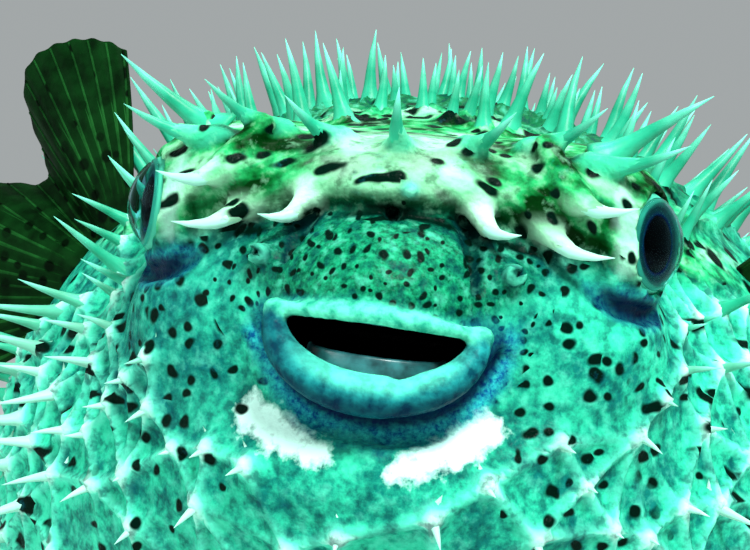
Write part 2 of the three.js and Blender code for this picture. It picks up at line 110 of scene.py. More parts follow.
# The lobes of the soft body: middle, half sizes, and how widely each melts into those above it.
LOBES = (
    ((0, -8, 215), (147, 158, 135), 0),  # trunk
    ((0, -100, 298), (58, 52, 39), 28),  # skull
    ((0, -112, 240), (68, 69, 46), 40),  # throat
    ((44, -132, 278), (30, 36, 28), 20),  # cheek
    ((26, -134, 291), (32, 38, 24), 14),  # side of the muzzle
    ((0, -154, 290), (33, 40, 27), 14),  # snout
    ((0, -158, 274), (32, 34, 16), 10),  # jaw
    ((0, -150, 246), (44, 37, 12), 20),  # roll under the chin
    ((0, -125, 321), (46, 50, 15), 4),  # middle of the brow
    ((39, -120, 320), (34, 46, 17), 7),  # side of the brow
    ((52, -138, 309), (17, 21, 21), 8),  # eye turret
    ((52, -141, 285), (18, 20, 14), 8),  # pouch under the eye
    ((0, 138, 270), (24, 44, 30), 36),  # root of the tail
)
EYE = np.array((61.0, -143.0, 310.0))
EYE_RADIUS = 16.0
SOCKET_GAZE = np.array((0.93, -0.36, 0.08)) / math.hypot(0.93, 0.36, 0.08)
MOUTH = np.array((0.0, -194.0, 281.0))
MOUTH_TILT = math.radians(3)  # its left corner hangs lower
TRUNK = np.array((0.0, 0.0, 215.0))

# Brow spines: root's distance from the middle plane and its height, and the tip sideways, ahead and
# up from it. The first stands alone in the middle, and each of the others has a twin on the right.
BROW_SPINES = (
    (0, 331, (0, -13, 15)),
    (22, 317, (12, -9, -6)),
    (39, 314, (19, -7, -7)),
    (46, 323, (17, -6, -3)),
    (17, 332, (13, -17, 10)),
    (34, 333, (19, -14, 12)),
    (50, 330, (25, -8, 7)),
)


def size_of(v):
    """The length of each vector."""
    return np.sqrt(np.einsum("...i,...i->...", v, v))


def unit(v):
    """Each vector's direction, with a length of 1."""
    return v / np.maximum(size_of(v), 1e-9)[..., None]


def rise(low, high, x):
    """Goes smoothly from 0 at low to 1 at high."""
    t = np.clip((x - low) / (high - low), 0, 1)
    return t * t * (3 - 2 * t)


def melted_min(a, b, melt):
    """The smaller of two distances, melted together where they are nearly equal."""
    share = np.maximum(melt - np.abs(a - b), 0)
    return np.minimum(a, b) - share * share / (4 * max(melt, 1e-6))


def melted_max(a, b, melt):
    """The larger of two distances, melted in the same way."""
    return -melted_min(-a, -b, melt)


def left_side(p):
    """The points, with those of the right side mirrored to the left."""
    return np.abs(p) * (1, 0, 0) + p * (0, 1, 1)


def ellipsoid(p, middle, half):
    """Roughly how far each point is outside an ellipsoid with these half sizes."""
    half = np.array(half, float)
    scaled = (p - np.array(middle, float)) / half
    near = size_of(scaled)
    return near * (near - 1) / (size_of(scaled / half) + 1e-9)


def roll(p, path, radii):
    """How far each point is outside a round roll along a path, with a radius at each of its points."""
    path = np.asarray(path, float)
    best = np.full(len(p), 1e3)
    for a, b, start, end in zip(path[:-1], path[1:], radii[:-1], radii[1:]):
        along = b - a
        t = np.clip((p - a) @ along / (along @ along), 0, 1)
        best = np.minimum(best, size_of(p - a - t[:, None] * along) - start - (end - start) * t)
    return best


def mouth_points(across, depth, height):
    """Places beside the middle of the mouth, turned with its tilt."""
    cos, sin = math.cos(MOUTH_TILT), math.sin(MOUTH_TILT)
    return np.stack([across * cos + height * sin, depth, height * cos - across * sin], 1) + MOUTH


def mouth_hollow(p, half):
    """How far each point is outside the hollow of the mouth, of these half sizes."""
    cos, sin = math.cos(MOUTH_TILT), math.sin(MOUTH_TILT)
    across, depth, height = (p - MOUTH).T
    level = np.stack([across * cos - height * sin, depth, height * cos + across * sin], 1)
    return ellipsoid(level, (0, 9, -0.2), half)


def lip_roll(p, upper):
    """How far each point is outside the upper or the lower lip."""
    u = np.linspace(-1, 1, 21)
    if upper:
        path = mouth_points(26.5 * u, -0.5 + 10 * u * u, 8 - 2.2 * u * u)
        return roll(p, path, 2.0 - 0.6 * u * u + 0.9 * u**16)
    sweep = u * math.pi / 2
    dimple = np.exp(-(((u - 0.24) / 0.06) ** 2))
    path = mouth_points(26.2 * np.sin(sweep), 1 + 8 * u * u, 4.8 - (16.6 + dimple) * np.cos(sweep))
    return roll(p, path, 5.4 - 2.9 * u * u - 1.2 * dimple)


# Where the skin folds in, each a path with its widths: below the lower lip, under the brow,
# and below the eye.
LIP_CREASE = (
    mouth_points(
        np.array((-32, -27, -18, -6, 6, 18, 27, 32.0)),
        np.array((19.5, 14, 11, 9.6, 9.6, 11, 14, 19.5)),
        np.array((0, -10, -17.6, -20.6, -20.8, -18.4, -11, 0.0)),
    ),
    (1.5, 2.4, 3.2, 3.6, 3.6, 3.2, 2.4, 1.5),
)
BROW_CREASE = (
    ((-40, -162, 305), (-30, -168, 310), (-17, -172, 313.5), (-3, -173.5, 314.5), (11, -172.5, 313.5),
     (26, -168, 310), (38, -162, 305)),
    (0.4, 0.8, 0.9, 0.8, 0.9, 0.8, 0.4),
)
# Upright folds on the snout, under the brow.
SNOUT_FOLDS = (
    (((0, -167, 316), (0.5, -173, 311), (1.5, -178, 303)), (0.6, 1.2, 0.4)),
    (((20, -164, 316), (21.5, -174, 304), (23, -179, 296)), (2.2, 1.5, 0.4)),
    (((-22, -164, 316), (-23.5, -172, 305), (-25, -175, 299)), (2.2, 1.5, 0.4)),
)
EYE_CREASE = (((54, -163, 298), (60, -159, 294), (67, -151, 292), (72, -144, 292)), (0.6, 1.8, 2.4, 1.5))
GILL_SLIT = (((100, -80, 299), (107, -77, 286), (111, -75, 272)), (1.4, 2.3, 1.4))
# The nostril's flap stands out of the snout, and its hole goes in.
NOSTRIL_FLAP = (((31, -168, 300), (33.6, -176.3, 301)), (3.2, 2.7))
NOSTRIL_HOLE = (((33.6, -173, 301), (34.6, -182, 302)), (0.8, 1.7))
NOSTRIL_MOUTH = (34, -178, 301.5)
# The eye sits in a round hollow with two rolls of lid: each one's distance from the line of sight,
# its height along it, its radius, and how widely it melts into the skin.
SOCKET_RADIUS = 15.5
SOCKET_DEPTH = 16
LIDS = ((14.4, 6.8, 2.1, 3.5), (18.2, 2.5, 1.7, 4))
# Markings on the skin: the two white ones on the throat, partly a painted highlight on the chin, and the pale
# front of each lid.
THROAT_MARKS_AND_HIGHLIGHT = (
    (((-32, -176, 260), (-22, -183, 256), (-11, -188, 252.5)), (2.5, 3.2, 1)),
    (((30, -176, 261), (21, -184, 256), (9, -190, 250.5)), (2, 3, 1)),
)
PALE_LID = (((59, -158, 323), (62, -162, 313), (61, -160, 304)), (0.8, 2.0, 0.8))


def plain_body(p):
    """The lobes and the tail stalk, without the face's detail."""
    q = left_side(p)
    distance = ellipsoid(q, *LOBES[0][:2])
    for middle, half, melt in LOBES[1:]:
        distance = melted_min(distance, ellipsoid(q, middle, half), melt)
    flare = (1 - np.clip((p[:, 1] - 112) / 100, 0, 1)) ** 1.5
    wide = 9 + 12 * flare
    ring = np.hypot(p[:, 0] / wide, (p[:, 2] - 272) / (16 + 12 * flare))
    stalk = melted_max((ring - 1) * wide, np.abs(p[:, 1] - 162) - 50, 6)
    return melted_min(distance, stalk, 6)


def root_below(side, height):
    """Where a level line from the front meets the plain body."""
    p = np.array(((side, -260.0, height),))
    for _ in range(80):
        p[:, 1] += 0.8 * plain_body(p)
    return p[0]


WART = root_below(5, 320) + (0, -1.5, 0)  # in the middle of the fold of the brow
WART_RADIUS = 1.8


# The brow spines whose sheaths are thick lobes, and how far above its root each lobe is white.
HEAVY = {1: 13, 2: 4, 3: 1}
HEAVY_DROOP = np.array((-1.0, -1.0, -2.9))  # how far the middle of such a spine hangs below its line
DROOP = np.array((-0.5, -1.0, -2.2))
FREE_FROM = 0.3  # share of a brow spine where the bone itself begins, inside its sheath


def droop_of(number):
    """How far the middle of a brow spine hangs from its straight line."""
    return HEAVY_DROOP if number in HEAVY else DROOP


def brow_line(number, shares):
    """Places at these shares of the way along a brow spine of the left side, from root to hooked tip."""
    side, height, tip = BROW_SPINES[number]
    t = np.array(shares)[:, None]
    return root_below(side, height) + np.array(tip) * t + droop_of(number) * 4 * t * (1 - t)


def sheath_paths():
    """The fleshy sheath round each brow spine: a path with its widths."""
    paths = []
    for number in range(len(BROW_SPINES)):
        path = brow_line(number, (0, 0.15, 0.3, 0.45, 0.62))
        if number in HEAVY:
            path = np.concatenate([path[0] + ((-9, 6, 12), (-4, 3, 5.5)), path])
            thick = (2.0, 3.4, 3.4, 3.0, 2.5, 1.9, 1.1)
        else:
            path = np.concatenate([path[:1] + (0, 4, -2), path])
            thick = (4.2, 3.8, 3.3, 2.7, 2.1, 1.2)
        paths.append((path, thick))
    return paths


SHEATHS = sheath_paths()


def skin_distance(p):
    """How far each point is outside the skin, with lips, lids, nostrils and the folds of the face."""
    d = plain_body(p)
    q = left_side(p)

    near = np.flatnonzero((size_of(p - MOUTH) < 58) & (np.abs(d) < 32))
    if len(near):
        f, e = p[near], d[near]
        # A low ridge runs down the snout, a little right of its middle.
        ridge = np.exp(-(((f[:, 0] + 2) / 2.2) ** 2)) * rise(292, 300, f[:, 2]) * rise(322, 312, f[:, 2])
        e = e - 0.5 * ridge
        for path, thick in SNOUT_FOLDS:
            e = melted_max(e, 0.4 - roll(f, path, thick), 4)
        e = melted_max(e, 0.6 - roll(f, *LIP_CREASE), 3)
        e = melted_max(e, -roll(f, *BROW_CREASE), 1.2)
        e = melted_max(e, -mouth_hollow(f, (25.5, 27, 8.5)), 1.5)
        e = melted_min(e, lip_roll(f, upper=False), 2.2)
        e = melted_min(e, lip_roll(f, upper=True), 2.6)
        d[near] = e

    near = np.flatnonzero((q[:, 1] < -118) & (q[:, 2] > 292) & (np.abs(d) < 30))
    if len(near):
        f, e = q[near], d[near]
        for path, thick in SHEATHS:
            e = melted_min(e, roll(f, path, thick), 4)
        d[near] = melted_min(e, size_of(p[near] - WART) - WART_RADIUS, 1.6)

    near = np.flatnonzero((size_of(q - (56, -158, 297)) < 22) & (np.abs(d) < 20))
    if len(near):
        d[near] = melted_max(d[near], 0.8 - roll(q[near], *EYE_CREASE), 3)

    near = np.flatnonzero(size_of(q - (33, -176, 301)) < 17)
    if len(near):
        f = q[near]
        flap, hole = roll(f, *NOSTRIL_FLAP), roll(f, *NOSTRIL_HOLE)
        d[near] = melted_max(melted_min(d[near], flap, 3), -hole, 0.8)

    near = np.flatnonzero(size_of(q - EYE) < 34)
    if len(near):
        rel = q[near] - EYE
        e = melted_max(d[near], SOCKET_RADIUS - size_of(rel - SOCKET_GAZE * SOCKET_DEPTH), 3)
        height = rel @ SOCKET_GAZE
        out = size_of(rel - height[:, None] * SOCKET_GAZE)
        for lid_out, lid_height, radius, melt in LIDS:
            e = melted_min(e, np.hypot(out - lid_out, height - lid_height) - radius, melt)
        d[near] = melted_max(e, EYE_RADIUS - size_of(rel), 0.6)

    near = np.flatnonzero(size_of(q - (106, -72, 286)) < 30)
    if len(near):
        d[near] = melted_max(d[near], -roll(q[near], *GILL_SLIT), 4)
    return d


def slope_of(distance, p, step=0.3):
    """The direction in which a distance grows fastest, and how fast."""
    slope = np.empty_like(p)
    for axis in range(3):
        shift = np.zeros(3)
        shift[axis] = step
        slope[:, axis] = (distance(p + shift) - distance(p - shift)) / (2 * step)
    return slope


def landed(p, distance, rounds=3):
    """The points moved onto the surface where the distance is 0."""
    for _ in range(rounds):
        slope = slope_of(distance, p)
        p = p - (distance(p) / np.maximum((slope * slope).sum(1), 0.25))[:, None] * slope
    return p


# The skin's mesh is fine on the snout and coarser away from it: even cells in a space that is
# stretched away from the face by this rule.
FACE = np.array((0.0, -165.0, 285.0))
STRETCH = 120.0
# How far the skin reaches from the face: right, ahead and down, then left, behind and up.
REACH_LOW = (158, 60, 215)
REACH_HIGH = (158, 385, 78)
BATCH = 4000  # blocks worked out at a time
FAR = 9.0  # the distance that stands for anywhere away from the skin


def from_even(q):
    """Places in the even cells, as places round the face."""
    return FACE + q * (1 + size_of(q) / STRETCH)[:, None]


def to_even(reach):
    """The stretched reach from the face, as a reach in the even cells."""
    return STRETCH / 2 * (math.sqrt(1 + 4 * reach / STRETCH) - 1)


def skin_mesh(cell):
    """The points and four-sided faces of the skin, made on a grid of cells of this size. One distance
    is worked out for each block of cells, and one for each cell only in blocks near the skin."""
    block = 4
    low = -np.array([to_even(v) for v in REACH_LOW])
    high = np.array([to_even(v) for v in REACH_HIGH])
    blocks = np.ceil((high - low) / (cell * block)).astype(int)
    corner = np.stack(np.meshgrid(*(np.arange(n) for n in blocks), indexing="ij"), -1).reshape(-1, 3)
    middle = low + cell * (block * corner + (block - 1) / 2)
    rough = skin_distance(from_even(middle))
    spread = 1 + 2 * size_of(middle) / STRETCH
    volume = np.repeat(np.repeat(np.repeat(rough.reshape(blocks), block, 0), block, 1), block, 2)
    volume = volume.astype(np.float32)
    active = corner[np.abs(rough) < 5.5 * cell * spread]
    inside = np.stack(np.meshgrid(*(np.arange(block),) * 3, indexing="ij"), -1).reshape(-1, 3)
    for part in np.array_split(active, max(1, len(active) // BATCH)):
        index = (block * part[:, None] + inside).reshape(-1, 3)
        volume[tuple(index.T)] = skin_distance(from_even(low + cell * index))
    grid = openvdb.FloatGrid(FAR)
    grid.copyFromArray(volume)
    points, faces = grid.convertToQuads(0.0)
    used = np.zeros(len(points), bool)
    used[faces.ravel()] = True
    points = landed(from_even(low + cell * points[used].astype(float)), skin_distance)
    return points, (np.cumsum(used) - 1)[faces]


# ---- Making meshes ------------------------------------------------------------------------


def new_object(name, points, faces):
    """A smooth mesh object at the origin, from points in millimetres."""
    mesh = bpy.data.meshes.new(name)
    faces = faces.tolist() if isinstance(faces, np.ndarray) else faces
    mesh.from_pydata((np.asarray(points) * MM).tolist(), [], faces)
    mesh.update()
    mesh.shade_smooth()
    obj = bpy.data.objects.new(name, mesh)
    bpy.context.scene.collection.objects.link(obj)
    return obj


def keep(mesh, name, values, kind="FLOAT"):
    """Keeps one value for each point of a mesh, for its material or its node tree."""
    layer = mesh.attributes.new(name, kind, "POINT")
    field = "value" if kind == "FLOAT" else "vector"
    layer.data.foreach_set(field, np.ascontiguousarray(values, np.float32).ravel())


def lathe(profile, turns, start, axis):
    """Turns a profile of (distance from the axis, height along it) round an axis, and closes its ends."""
    axis = unit(np.array(axis, float))
    side = unit(np.cross(axis, (0.3, 1, 0.2)))
    other = np.cross(axis, side)
    angle = np.arange(turns) * 2 * math.pi / turns
    spoke = np.cos(angle)[:, None] * side + np.sin(angle)[:, None] * other
    points = [np.array(start) + axis * height + spoke * out for out, height in profile]
    count = len(profile)
    ring = np.arange(turns)
    after = (ring + 1) % turns
    faces = []
    for i in range(count - 1):
        a, b = i * turns, (i + 1) * turns
        faces += np.stack([a + ring, a + after, b + after, b + ring], 1).tolist()
    points = np.concatenate([*points, [start + axis * profile[0][1]], [start + axis * profile[-1][1]]])
    bottom, top = len(points) - 2, len(points) - 1
    last = (count - 1) * turns
    faces += np.stack([ring * 0 + bottom, after, ring], 1).tolist()
    faces += np.stack([ring * 0 + top, last + ring, last + after], 1).tolist()
    return points, faces


def set_inputs(modifier, values):
    """Sets the inputs of a modifier's node tree, each by its socket's identifier."""
    for socket in modifier.node_group.interface.items_tree:
        if socket.in_out == "INPUT" and socket.name in values:
            modifier[socket.identifier] = values[socket.name]


def plain_result(obj, name):
    """The object that an object's modifiers make, as a plain mesh of its own; the first is removed."""
    depsgraph = bpy.context.evaluated_depsgraph_get()
    mesh = bpy.data.meshes.new_from_object(obj.evaluated_get(depsgraph), depsgraph=depsgraph)
    mesh.name = name
    bpy.data.objects.remove(obj)
    result = bpy.data.objects.new(name, mesh)
    bpy.context.scene.collection.objects.link(result)
    return result


def declare(obj, material, slot, *nodes):
    """Dresses a finished piece, hangs it under the root, and hides the solids it stands for."""
    if material and not obj.data.materials:
        obj.data.materials.append(material)
    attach(obj, "root")
    if nodes:
        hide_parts(*nodes)


# ---- Skin ---------------------------------------------------------------------------------


def face_regions(p):
    """How much each point of the skin belongs to each marked region, from 0 to 1. Each rise goes from
    where a region begins to where it is full, in millimetres."""
    q = left_side(p)
    x, y, z = p.T
    facing = outward(p)
    front = rise(-118, -146, y)
    lower = lip_roll(p, upper=False)
    upper = lip_roll(p, upper=True)
    snout = front * rise(1.12, 0.8, np.hypot(x / 42, (z - 302) / 17)) * rise(0.5, 3, upper)
    brow = rise(309, 318, z + 0.22 * np.maximum(np.abs(x) - 14, 0)) * rise(-35, -100, y)
    mark = np.minimum(*(roll(p, *path) for path in THROAT_MARKS_AND_HIGHLIGHT))
    below_eye = roll(q, *EYE_CREASE)
    # How far a place is from the outline of the lower lip as seen from ahead, however deep it lies.
    chin = np.stack([x, MOUTH[1] + 1 + 8 * (x / 27) ** 2, z], 1)
    beneath = lip_roll(chin, upper=False)
    on_chin = front * rise(294, 280, z)
    wart = rise(3.8, WART_RADIUS, size_of(p - WART))
    # How much the skin in front closes in on a place, seen from near and from further off; the material
    # paints such places darker, as painted shade.
    hollow, deep = (1 - np.clip(skin_distance(p + facing * step) / step, 0, 1) for step in (3.5, 12))
    # How much a place faces aside, ahead or up, for patterns that are drawn flat.
    share = np.abs(unit(slope_of(plain_body, p, 2.0))) ** 6
    share = share / share.sum(1)[:, None]
    pocket = mouth_hollow(p, (27, 29, 10))
    fine = rise(14, 2, roll(p, ((-18, -180, 300), (18, -180, 300)), (22, 22)))
    on_lips = rise(1.2, 0.6, np.minimum(lower, upper))
    on_body = rise(-128, -104, y)
    unspotted = np.maximum(
        rise(46, 34, np.hypot(x, 0.9 * (z - 234))) * rise(-120, -150, y),
        0.5 * rise(268, 252, z) * rise(-70, -110, y),
    )
    # The thick lobes of the brow are white up to a height of their own.
    lobed = 0 * z
    sleeve = np.full(len(p), 1e3)
    for number, (path, thick) in enumerate(SHEATHS):
        if number in HEAVY:
            highest = BROW_SPINES[number][1] + HEAVY[number]
            white = rise(2.4, -0.4, roll(q, path, thick)) * rise(highest, highest - 10, z)
            lobed = np.maximum(lobed, white)
        else:
            sleeve = np.minimum(sleeve, roll(q, path, thick))
    sleeved = rise(2, -0.5, sleeve)
    to_nostril = size_of(q - NOSTRIL_MOUTH)
    hole = rise(0.5, -0.5, roll(q, *NOSTRIL_HOLE))
    fold = np.full(len(p), 1e3)
    for path, thick in SNOUT_FOLDS:
        fold = np.minimum(fold, roll(p, path, thick))
    return {
        # Painted shade in the folds of the snout.
        "fold": rise(4, -1, fold),
        # Darker painted shade in the depth of the creases under the lower lip and below the eyes.
        "line": 0.95 * np.maximum(rise(6.0, 3.2, beneath) * on_chin, rise(3.2, 0, below_eye)),
        "snout": snout,
        "brow": brow,
        "cream": 0.5 * rise(30, 10, np.abs(x)) * rise(315, 319, z) * rise(343, 329, z) * front,
        "lower_lip": rise(1.3, 0.1, lower) * rise(-1, 1.5, upper),
        "upper_lip": rise(1.6, 0.2, upper),
        # Painted shade round the creases under the lower lip and below the eyes.
        "crease_shade": np.maximum(rise(13, 3, beneath) * on_chin, 0.5 * rise(5.5, 1, below_eye)),
        # Painted shade on the lower lip's underside and on its end at the right.
        "lip_shade": rise(1.3, 0.1, lower) * np.maximum(
            0.8 * rise(-14, -28, x), rise(0.3, -0.5, facing[:, 2])),
        # Painted shade in the fold under the brow, except on the wart, and in the nostril holes.
        "under_brow_shade": (1 - wart) * np.maximum(rise(2.2, 0.2, roll(p, *BROW_CREASE)), 0.6 * hole),
        # White marks on the throat, partly a painted highlight on the chin.
        "pale": rise(8, -3, mark),
        "lobe": lobed,
        "lid": 0.42 * rise(3.2, -0.5, roll(q, *PALE_LID)),
        "sleeve": 0.75 * sleeved,
        "ring": np.maximum(0.4 * rise(1.8, 0.4, np.abs(to_nostril - 2.8)), 0.5 * wart),
        # A painted highlight along the top of the lower lip.
        "lip_lit": rise(2, 0, lower) * rise(0.05, 0.7, facing[:, 2]) * rise(-26, -4, x) * rise(28, 12, x),
        "bare_small": np.maximum.reduce([1 - fine, on_lips, brow, rise(7, 5, to_nostril)]),
        "bare_oval": np.maximum.reduce([1 - brow, rise(-90, -60, y), 0.85 * lobed, 0.9 * sleeved, wart]),
        "bare_middling": np.maximum.reduce([brow, fine, unspotted, on_lips, on_body, rise(8, 6, to_nostril)]),
        "bare_large": np.maximum.reduce([unspotted, 1 - on_body, rise(235, 150, z)]),
        "shadow": rise(-30, -60, x) * rise(46, 20, np.abs(z - 285)) * front,
        # Painted shade in the hollows, weaker just under the lower lip, where the creases have painted shade
        # of their own.
        "hollow": np.clip(0.55 * hollow + 0.6 * deep, 0, 1) * (1 - 0.8 * rise(17, 9, beneath) * on_chin),
        # Painted shade inside the mouth.
        "inside": rise(1.5, -1.5, pocket) * rise(-190, -185, y) * rise(-0.2, 1.2, np.minimum(lower, upper)),
        "back": rise(285, 345, z) * rise(-110, -40, y),
        "belly": rise(235, 150, z),
        "seen_across": share[:, 0],
        "seen_along": share[:, 1],
        "seen_above": share[:, 2],
    }


def outward(p):
    """Which way the skin faces."""
    return unit(slope_of(skin_distance, p, 0.6))


def neighbours(at, tree):
    """For every spine root, up to six roots beside it with no other root between; its own number pads."""
    beside = np.tile(np.arange(len(at))[:, None], (1, 6))
    for number, place in enumerate(at):
        near = [hit[1] for hit in tree.find_n(place, 9)][1:]
        chosen = []
        for other in near:
            middle = (place + at[other]) / 2
            if tree.find(middle)[1] in (number, other):
                chosen.append(other)
        chosen = chosen[:6]
        beside[number, : len(chosen)] = chosen
    return beside


PEAK_WIDTH = 3.3  # of the peak at a spine's root
RIDGE_WIDTH = 1.9  # of the ridge between two roots


def tented(p, normal, roots, mound):
    """The skin drawn up round the spines: a peak at every root and a ridge to each root beside it; and
    how high it rises."""
    at, lift = roots["at"], roots["mound"]
    tree = KDTree(len(at))
    for number, place in enumerate(at):
        tree.insert(place, number)
    tree.balance()
    beside = neighbours(at, tree)
    found = [tree.find_n(place, 2) for place in p]
    nearest = np.array([[hit[1] for hit in hits] for hits in found])
    reach = np.array([hits[0][2] for hits in found])
    height = 1.1 * np.exp(-((reach / PEAK_WIDTH) ** 2)) * lift[nearest[:, 0]]
    for rank in range(2):
        root = nearest[:, rank]
        for other in beside[root].T:
            span = at[other] - at[root]
            far = np.maximum(size_of(span), 1e-3)
            t = np.clip(((p - at[root]) * span).sum(1) / far**2, 0, 1)
            away = size_of(p - at[root] - t[:, None] * span)
            ridge = (0.5 + 0.5 * np.abs(2 * t - 1) ** 1.3) * rise(36, 22, far)
            ridge = ridge * np.minimum(lift[root], lift[other])
            height = np.maximum(height, ridge * np.exp(-((away / RIDGE_WIDTH) ** 2)))
    return p + normal * (mound * height)[:, None], height


def spot_layer(tree, flat, spacing, size, bare):
    """Dark spots of this size, about this far apart, both in metres: 1 in a spot and 0 outside. The
    attribute bare is the share of the spots that is left out, and a piece without it keeps them all."""
    cells = add(tree, "ShaderNodeTexVoronoi", {
        "Vector": flat, "Scale": 1 / spacing, "Randomness": 0.8,
    }, voronoi_dimensions="2D")
    edge = size / 2 / spacing
    # Each spot has its own size, from its cell's own random colour.
    own = add(tree, "ShaderNodeSeparateColor", {0: cells.outputs["Color"]}).outputs
    wide = add(tree, "ShaderNodeMapRange", {
        "Value": own[0], "To Min": edge * 0.7, "To Max": edge * 1.35,
    }).outputs[0]
    missing = add(tree, "ShaderNodeAttribute", attribute_name=bare).outputs["Fac"]
    there = add(tree, "ShaderNodeMath", {0: own[1], 1: missing}, operation="GREATER_THAN").outputs[0]
    wide = add(tree, "ShaderNodeMath", {0: wide, 1: there}, operation="MULTIPLY").outputs[0]
    inner = add(tree, "ShaderNodeMath", {0: wide, 1: 0.55}, operation="MULTIPLY").outputs[0]
    mask = add(tree, "ShaderNodeMapRange", {
        "Value": cells.outputs["Distance"], "From Min": wide, "From Max": inner,
    }, interpolation_type="SMOOTHSTEP")
    return mask.outputs[0]


def flat_views(tree, place, wobble):
    """The place seen from ahead, from the side and from above, each as a flat pattern's own place."""
    bent = add(tree, "ShaderNodeVectorMath", {0: place, 1: wobble}, operation="ADD").outputs[0]
    axis = add(tree, "ShaderNodeSeparateXYZ", {0: bent}).outputs
    pairs = {"seen_along": ("X", "Z"), "seen_across": ("Y", "Z"), "seen_above": ("X", "Y")}
    return {
        name: add(tree, "ShaderNodeCombineXYZ", {0: axis[a], 1: axis[b]}).outputs[0]
        for name, (a, b) in pairs.items()
    }


def spots_all_round(tree, views, spacing, size, bare):
    """A layer of spots that is drawn from whichever of the three views a place faces."""
    total = 0.0
    for name, flat in views.items():
        weight = add(tree, "ShaderNodeAttribute", attribute_name=name).outputs["Fac"]
        sharp = add(tree, "ShaderNodeMapRange", {
            "Value": weight, "From Min": 0.42, "From Max": 0.56,
        }).outputs[0]
        layer = spot_layer(tree, flat, spacing, size, bare)
        share = add(tree, "ShaderNodeMath", {0: layer, 1: sharp}, operation="MULTIPLY").outputs[0]
        total = add(tree, "ShaderNodeMath", {0: total, 1: share}, operation="MAXIMUM").outputs[0]
    return total


# The skin's attributes that its material reads as shares of a colour.
MARKED = (
    "snout", "brow", "cream", "lower_lip", "upper_lip", "lip_lit", "lip_shade", "crease_shade", "line", "under_brow_shade",
    "fold", "pale", "lobe", "lid", "sleeve", "ring", "shadow", "hollow", "inside", "back", "belly", "mound",
)
# Of those, the ones that tint a place in part only, and how much.
FAINT = {"shadow": 0.6, "belly": 0.65, "hollow": 0.95, "lip_shade": 0.75, "fold": 0.7}


def rib_pattern(tree, ribs, settings):
    """The ribs of the brow, about 8 mm wide and 16 mm long: their height, and their colour, which is
    cream along the tops and dark between, a painted shade in the furrows."""
    drawn = add(tree, "ShaderNodeMapping", {"Vector": ribs, "Scale": (1.0, 0.5, 1.0)}).outputs[0]
    rib = add(tree, "ShaderNodeTexNoise", {
        "Vector": drawn, "Scale": 1 / (8 * MM), "Detail": 3.0, "Roughness": 0.42,
    }, noise_dimensions="2D").outputs["Fac"]
    ramp = add(tree, "ShaderNodeValToRGB", {"Fac": rib})
    stops = ramp.color_ramp.elements
    stops[0].position, stops[0].color = 0.35, settings.brow_furrow_shade
    stops[1].position, stops[1].color = 0.68, settings.brow_cream
    for at, tone in ((0.41, settings.brow), (0.53, settings.brow_pale)):
        stops.new(at).color = tone
    return rib, ramp.outputs[0]


def skin_spots(tree, place, ribs):
    """All the dark spots: about 2 mm across on the snout, 4 mm on the brow and cheeks, 6 mm on the body."""
    shake = add(tree, "ShaderNodeTexNoise", {"Vector": place, "Scale": 1 / (5 * MM), "Detail": 0.5})
    wobble = add(tree, "ShaderNodeVectorMath", {
        0: shake.outputs["Color"], "Scale": 3.2 * MM,
    }, operation="SCALE").outputs[0]
    views = flat_views(tree, place, wobble)
    bent = add(tree, "ShaderNodeVectorMath", {0: ribs, 1: wobble}, operation="ADD").outputs[0]
    drawn = add(tree, "ShaderNodeMapping", {"Vector": bent, "Scale": (1.0, 0.62, 1.0)}).outputs[0]
    spots = spot_layer(tree, views["seen_along"], 4.0 * MM, 2.1 * MM, "bare_small")
    for layer in (
        spot_layer(tree, drawn, 7.8 * MM, 3.6 * MM, "bare_oval"),
        spots_all_round(tree, views, 7.4 * MM, 3.9 * MM, "bare_middling"),
        spots_all_round(tree, views, 14 * MM, 6.2 * MM, "bare_large"),
    ):
        spots = add(tree, "ShaderNodeMath", {0: spots, 1: layer}, operation="MAXIMUM").outputs[0]
    return spots


